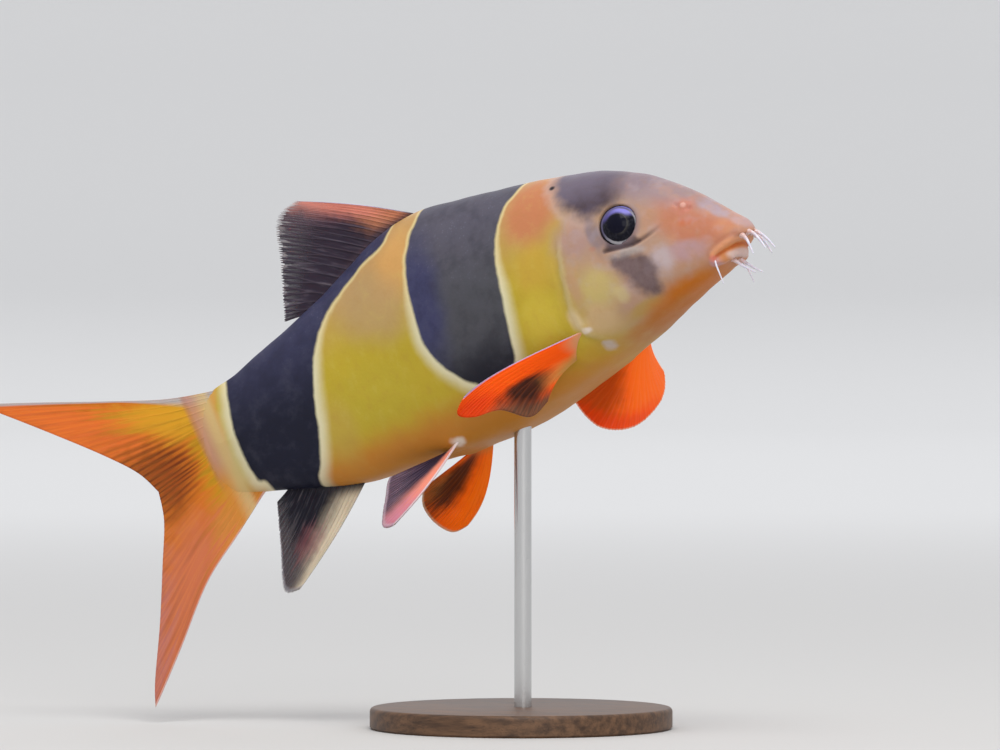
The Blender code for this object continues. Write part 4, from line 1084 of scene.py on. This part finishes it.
def middle_fin(roots, tips, sink):
    """A fin on the middle line of the back or belly, whose roots start sunk in the body."""
    def ray_at(share, reach):
        root = flat_point(curve_through(roots, share)) + Vector((0.0, 0.0, sink))
        tip = flat_point(curve_through(tips, share ** 1.25))
        bow = Vector((0.0, 0.35 * math.sin(math.pi * share), -0.012 * sink * (tip - root).length))
        return root.lerp(tip, reach) + bow * math.sin(math.pi * reach)
    return ray_at


def tail_point(share, reach):
    """The tail fin: its outer rays follow the two edges, and the others straighten towards the fork."""
    upper = share <= 0.5
    inwards = 1 - abs(2 * share - 1)
    roots, edge, tips, side = (
        (TAIL_ROOTS_UPPER, TAIL_EDGE_UPPER, TAIL_TIPS_UPPER, 1) if upper
        else (TAIL_ROOTS_LOWER, TAIL_EDGE_LOWER, TAIL_TIPS_LOWER, -1))
    root = flat_point(curve_through(roots, inwards)) - Vector((2.5, 0.0, 0.0))
    tip = flat_point(curve_through(tips, inwards ** 0.8))
    straight = flat_point(edge[0]).lerp(flat_point(edge[-1]), reach)
    curl = flat_point(curve_through(edge, reach)) - straight
    shorter = (tip - root).length / 45.0
    wave = TAIL_WAVE * side * (1 - inwards**4) * (shorter * reach) ** 2
    return root.lerp(tip, reach) + curl * shorter * (1 - inwards) + Vector((0.0, wave, 0.0))


def paired_fin(roots, spread, bows, side):
    """A pectoral or pelvic fin: its rays fan from a short root line on the skin, and bend as they go out."""
    middle = curve_through(spread, 0.5)
    inwards = Vector((-middle[0], -middle[1] * side, middle[2])).normalized()

    def ray_at(share, reach):
        station, up = curve_through(roots, share)
        back, out, down = curve_through(spread, share)
        direction = Vector((back, out * side, -down))
        bow = Vector(bows[0]).lerp(Vector(bows[1]), share)
        sunk = ROOT_SUNK / direction.length
        along = reach * (1 + sunk) - sunk
        bent = Vector((bow.x, bow.y * side, -bow.z)) * math.sin(math.pi * max(along, 0.0))
        inside = inwards.lerp(-direction.normalized(), 0.5) * max(-along, 0.0) * direction.length
        return side_of_body(station, up, side) + direction * max(along, 0.0) + bent + inside
    return ray_at


# %% [markdown]
# ## The finishes of the fins
# A picture of each fin could be wrapped on its sheet, but it would blur close up. Here each fin's
# colour is told in its own measure instead: share across the rays and reach along them. Soft ovals
# lay down the dark and bright fields, the rays show through as finer lines, and towards the edge the
# skin turns thin and lets light pass.

# %% Finish of a fin
def off_ray(f, row):
    """How far the spot is from the nearest ray, in gaps between rays."""
    return abs(row - f.math("ROUND", row))


def fin_finish(name, ground, patches, rays, count, root_colour, seen_through=0.3, lead=None, trail=None, margin=None,
               streaks=0.3, ridged=0.35, at_tail=False, lit_through=0.12, painted_glow=0.0):
    """Patches are share, reach, half size across, half size along, tilt, colour and strength. Rays are their
    colour and strength. Lead and trail are the edges along the first and last ray, and margin is the
    outer edge: colour, width and strength. Lead and trail are so many times wider at the root."""
    f = Finish(name)
    row, reach = f.spots("ray_row"), f.spots("ray_reach")
    share = row * (1.0 / (count - 1))
    across = share + f.wander(2.5, 3.0, 0.14)
    fibres = f.node("ShaderNodeCombineXYZ", {"X": share * 34.0, "Y": reach * 2.2})
    silk = f.noise(1000.0, 3.0, 0.55, fibres)
    along = reach + (silk - 0.5) * (0.1 + 1.6 * streaks)
    colour = f.mix(f.fade(silk, 0.5, 0.75) * streaks, ground, rays[0])
    for patch in patches:
        colour = lay(f, colour, across, along, patch)
    colour = f.mix(f.fade(silk, 0.55, 0.3) * (streaks * 0.5), colour, (0.03, 0.010, 0.012))
    if at_tail:
        between = f.fade(off_ray(f, row * 2.0) + silk * 0.4, 0.28, 0.66)
        colour = f.mix(oval(f, share, reach, FORK_STREAKS) * between, colour, FORK_STREAKS[5])
    off = off_ray(f, row)
    for spread, fork in ((SPREAD_ONE, FORK_ONE), (SPREAD_TWO, FORK_TWO)):
        off = abs(off - f.fade(reach, *fork) * spread)
    ridge = f.fade(off, 0.12, 0.02)
    colour = f.mix(ridge * rays[1], colour, rays[0])
    if margin:
        outer = f.fade(reach, 1.0 - margin[1], 1.0 - margin[1] * 0.3)
        colour = f.mix(outer * margin[2], colour, margin[0])
    for edge, from_edge in ((lead, share), (trail, 1.0 - share)):
        if edge:
            width = edge[1] * (1.0 + f.fade(reach, 0.5, 0.0) * (edge[3] - 1.0))
            colour = f.mix(f.fade(from_edge / width, 1.0, 0.4) * edge[2], colour, edge[0])
    if at_tail:
        colour = tail_root(f, colour, *f.straight())
    else:
        colour = f.mix(f.fade(reach, 0.22, 0.09), colour, root_colour)
    joints = f.math("SINE", reach * 260.0) * ridge
    f.bump(ridge + joints * 0.15, ridged, 0.12)
    thin = (1.0 - ridge) * f.fade(reach, 0.45, 1.0)
    # painted_glow lights the fin with its own colour: a painted glow that stands in for light shining through the
    # thin fin
    return f.set(
        Base_Color=colour, Alpha=1.0 - thin * seen_through, Roughness=0.45, Specular_IOR_Level=0.1,
        Subsurface_Weight=lit_through, Subsurface_Radius=(1.0, 0.4, 0.2), Subsurface_Scale=0.0008,
        Emission_Color=colour, Emission_Strength=painted_glow)


# %% The colours of each fin
# near the fork of the tail the skin between the rays is dark, measured like the patches
FORK_STREAKS = (0.45, 0.78, 0.25, 0.52, 0, (0.11, 0.022, 0.006), 0.8)
dorsal_look = fin_finish(
    "dorsal_fin_skin", (0.030, 0.022, 0.036),
    [(0.15, 0.9, 0.4, 0.6, 0, (0.12, 0.055, 0.075), 0.6), (0.0, 0.5, 0.34, 1.3, 0, (0.78, 0.27, 0.20), 0.98),
     (0.1, 0.1, 0.34, 0.4, 0, (0.52, 0.21, 0.10), 0.8), (0.5, 1.05, 0.7, 0.10, 0, (0.30, 0.28, 0.29), 0.8)],
    ((0.17, 0.14, 0.17), 0.12), 20, (0.06, 0.04, 0.055), 0.4, ((0.50, 0.48, 0.62), 0.03, 0.95, 1.0), streaks=0.45)
anal_look = fin_finish(
    "anal_fin_skin", (0.010, 0.010, 0.018),
    [(0.0, 0.5, 0.46, 1.4, 0, (0.70, 0.60, 0.44), 0.98), (0.55, 0.95, 0.45, 0.35, 0, (0.060, 0.046, 0.052), 0.9),
     (0.40, 0.60, 0.22, 0.22, 0, (0.30, 0.10, 0.11), 0.45)],
    ((0.24, 0.22, 0.24), 0.08), 14, (0.03, 0.028, 0.035), 0.3, ((0.70, 0.64, 0.54), 0.03, 0.7, 1.0),
    margin=((0.34, 0.33, 0.36), 0.04, 0.7), streaks=0.35)
tail_look = fin_finish(
    "tail_fin_skin", (0.56, 0.15, 0.012),
    [(0.45, 0.12, 0.62, 0.34, 0, (0.50, 0.27, 0.012), 0.95), (0.20, 0.36, 0.17, 0.42, 0, (0.62, 0.33, 0.02), 0.85),
     (0.14, 0.95, 0.24, 0.45, 0, (0.72, 0.16, 0.03), 0.85), (0.9, 0.75, 0.26, 0.6, 0, (0.54, 0.16, 0.075), 0.9),
     (0.95, 0.2, 0.2, 0.25, 0, (0.60, 0.24, 0.05), 0.8), (0.97, 1.0, 0.3, 0.2, 0, (0.44, 0.16, 0.14), 0.7),
     (0.48, 0.80, 0.2, 0.42, 0, (0.26, 0.052, 0.008), 0.8)],
    ((0.64, 0.26, 0.03), 0.10), 19, (0.60, 0.30, 0.08), 0.1, ((0.40, 0.39, 0.40), 0.03, 0.9, 9.0),
    ((0.68, 0.42, 0.38), 0.012, 0.7, 2.0), streaks=0.4, ridged=0.25, at_tail=True, lit_through=0.3)
# The near pectoral's violet-white leading edge is a painted highlight, and its dark and near-black fields on the rear
# part are painted shade of the folded fin, over its grey see-through skin.
near_pectoral_look = fin_finish(
    "right_pectoral_fin_skin", (0.92, 0.095, 0.001),
    [(0.3, 0.98, 0.3, 0.35, 0, (0.58, 0.022, 0.001), 0.7), (0.82, 1.0, 0.36, 0.36, 0, (0.11, 0.060, 0.035), 0.97),
     (0.65, 0.66, 0.25, 0.31, 0, (0.022, 0.008, 0.005), 0.97), (0.98, 0.2, 0.40, 0.50, 0, (0.46, 0.24, 0.06), 0.95)],
    ((0.96, 0.17, 0.008), 0.05), 12, (0.62, 0.30, 0.14), 0.1, ((0.44, 0.35, 0.56), 0.045, 0.9, 1.0), streaks=0.06,
    ridged=0.05, lit_through=0.35)
# the far pectoral fin gets a painted glow that stands in for light shining through it
far_pectoral_look = fin_finish(
    "left_pectoral_fin_skin", (1.0, 0.14, 0.001),
    [(0.95, 0.7, 0.40, 0.6, 0, (0.36, 0.040, 0.002), 0.85), (0.6, 0.98, 0.4, 0.2, 0, (0.70, 0.022, 0.001), 0.6)],
    ((1.0, 0.18, 0.004), 0.03), 12, (0.95, 0.17, 0.01), 0.05, ((0.80, 0.56, 0.50), 0.018, 0.85, 1.0),
    margin=((0.80, 0.44, 0.30), 0.022, 0.7), streaks=0.08, ridged=0.03, lit_through=0.6, painted_glow=0.18)
near_pelvic_look = fin_finish(
    "right_pelvic_fin_skin", (0.070, 0.038, 0.062),
    [(0.0, 0.35, 0.58, 1.1, 0, (0.92, 0.30, 0.20), 0.98), (0.05, 1.0, 0.42, 0.45, 0, (0.62, 0.22, 0.34), 0.75),
     (0.72, 0.42, 0.30, 0.45, 0, (0.022, 0.017, 0.040), 0.95)],
    ((0.42, 0.28, 0.38), 0.18), 14, (0.88, 0.78, 0.72), 0.3, ((0.82, 0.66, 0.70), 0.03, 0.85, 1.0),
    margin=((0.55, 0.42, 0.48), 0.05, 0.6), streaks=0.4, ridged=0.2, lit_through=0.2)
# the far pelvic fin also gets a painted glow for light shining through it
far_pelvic_look = fin_finish(
    "left_pelvic_fin_skin", (0.80, 0.11, 0.002),
    [(0.05, 0.6, 0.45, 1.2, 0, (1.0, 0.17, 0.002), 0.95), (0.72, 0.55, 0.28, 0.62, 0, (0.045, 0.012, 0.004), 0.95),
     (0.95, 0.9, 0.25, 0.4, 0, (0.20, 0.085, 0.02), 0.7)],
    ((0.85, 0.18, 0.01), 0.08), 14, (0.55, 0.18, 0.03), 0.15, ((0.80, 0.46, 0.26), 0.02, 0.7, 1.0),
    margin=((0.60, 0.46, 0.30), 0.035, 0.6), streaks=0.35, ridged=0.1, lit_through=0.4, painted_glow=0.1)

# %% Fins
# thickness in millimetres at the root, of a ray and of the skin between
THICK, SMOOTHER, TAIL_THICK = (1.3, 0.6, 0.25), (1.2, 0.44, 0.42), (1.2, 0.5, 0.35)
fin_sheet("fine_dorsal_fin", middle_fin(DORSAL_ROOTS, DORSAL_TIPS, -ROOT_SUNK), 20, dorsal_look,
          ("dorsal_fin",), THICK, 0.06)
fin_sheet("fine_anal_fin", middle_fin(ANAL_ROOTS, ANAL_TIPS, ROOT_SUNK), 14, anal_look,
          ("anal_fin",), THICK, 0.03)
fin_sheet("fine_tail_fin", tail_point, 19, tail_look, ("tail_fin_upper", "tail_fin_lower"),
          TAIL_THICK, 0.0)
# kind, roots, rays, how deep the edge is frayed, and how far the corners are drawn in
PECTORAL = ("pectoral", PECTORAL_ROOTS, 12, 0.0, (0.10, 0.03))
PELVIC = ("pelvic", PELVIC_ROOTS, 14, 0.01, (0.03, 0.03))
for side, word, (kind, roots, count, tear, corners), spread, bows, look in (
        (1, "left", PECTORAL, LEFT_PECTORAL_RAYS, LEFT_PECTORAL_BOW, far_pectoral_look),
        (1, "left", PELVIC, LEFT_PELVIC_RAYS, LEFT_PELVIC_BOW, far_pelvic_look),
        (-1, "right", PECTORAL, RIGHT_PECTORAL_RAYS, RIGHT_PECTORAL_BOW, near_pectoral_look),
        (-1, "right", PELVIC, RIGHT_PELVIC_RAYS, RIGHT_PELVIC_BOW, near_pelvic_look)):
    fin_sheet(f"fine_{kind}_fin_{word}", paired_fin(roots, spread, bows, side), count, look,
              (f"{kind}_fin_{word}",), SMOOTHER, tear, corners)

# %% [markdown]
# ## The stand
# A fish can't stand, so the model rests on a steel rod in a round wooden base. Both are turned parts. A
# cylinder with bevelled edges would do, but spin makes a turned part from half of its outline, as a
# lathe does, so the rounding of the rim is drawn once. The grain is noise that is stretched along x.

# %% Stand
def turned(name, profile, steps, centre, finish, replaced):
    bm = spun([(radius * MM, height * MM) for radius, height in profile], steps)
    bmesh.ops.translate(bm, verts=bm.verts, vec=centre)
    turn_outwards(bm)
    piece_from(bm, name, finish, replaced).data.set_sharp_from_angle(angle=math.radians(40))


# %% Walnut and steel
def wood_finish():
    f = Finish("dark_walnut")
    grain = f.noise(1.4, 6.0, 0.65, f.scaled((0.12, 1.0, 1.0)))
    pores = f.fade(f.noise(0.25, 2.0, 0.5, f.scaled((0.06, 1.0, 1.0))), 0.6, 0.75)
    colour = f.mix(f.fade(grain, 0.3, 0.7), (0.050, 0.025, 0.013), (0.155, 0.080, 0.040))
    colour = f.mix(pores * 0.6, colour, (0.020, 0.010, 0.006))
    f.bump(grain - pores, 0.15, 0.1)
    return f.set(Base_Color=colour, Roughness=0.45 + grain * 0.2, Specular_IOR_Level=0.3,
                 Coat_Weight=0.12, Coat_Roughness=0.3)


def steel_finish():
    f = Finish("polished_steel")
    rings = f.noise(2.0, 3.0, 0.5, f.scaled((1.0, 1.0, 14.0)))
    f.bump(rings, 0.05, 0.02)
    return f.set(Base_Color=(0.62, 0.62, 0.62), Metallic=1.0, Roughness=0.16 + rings * 0.16)


# %% Base and rod, as radius and height in millimetres
BASE_PROFILE = [(0.0, 0.0), (27.6, 0.0), (28.0, 0.4), (28.0, 3.2), (27.94, 3.5), (27.77, 3.77), (27.5, 3.94),
                (27.2, 4.0), (0.0, 4.0)]
ROD_RADIUS, ROD_STATION, ROD_SUNK = 1.6, 60.0, 1.5
BASE_TOP = BASE_PROFILE[-1][1]
turned("turned_base", BASE_PROFILE, 160, (0, 0, 0), wood_finish(), ("stand_base",))
low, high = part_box("stand_rod")
middle = (low + high) / 2
belly = place((ROD_STATION, 0.0, section_at(ROD_STATION)[1])).z / MM
rod_profile = [(0.0, BASE_TOP), (ROD_RADIUS, BASE_TOP), (ROD_RADIUS, belly + ROD_SUNK), (0.0, belly + ROD_SUNK)]
turned("turned_rod", rod_profile, 64, (middle.x, middle.y, 0.0), steel_finish(), ("stand_rod",))

# %% [markdown]
# ## Sizes and the end
# The looks must not outgrow the CAD model, so both boxes are kept and printed at the end.

# %% Sizes
sizes = {"cad": [list(corner) for corner in cad_box], "visual": [list(corner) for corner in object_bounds()]}
print("cad", sizes["cad"], "visual", sizes["visual"])
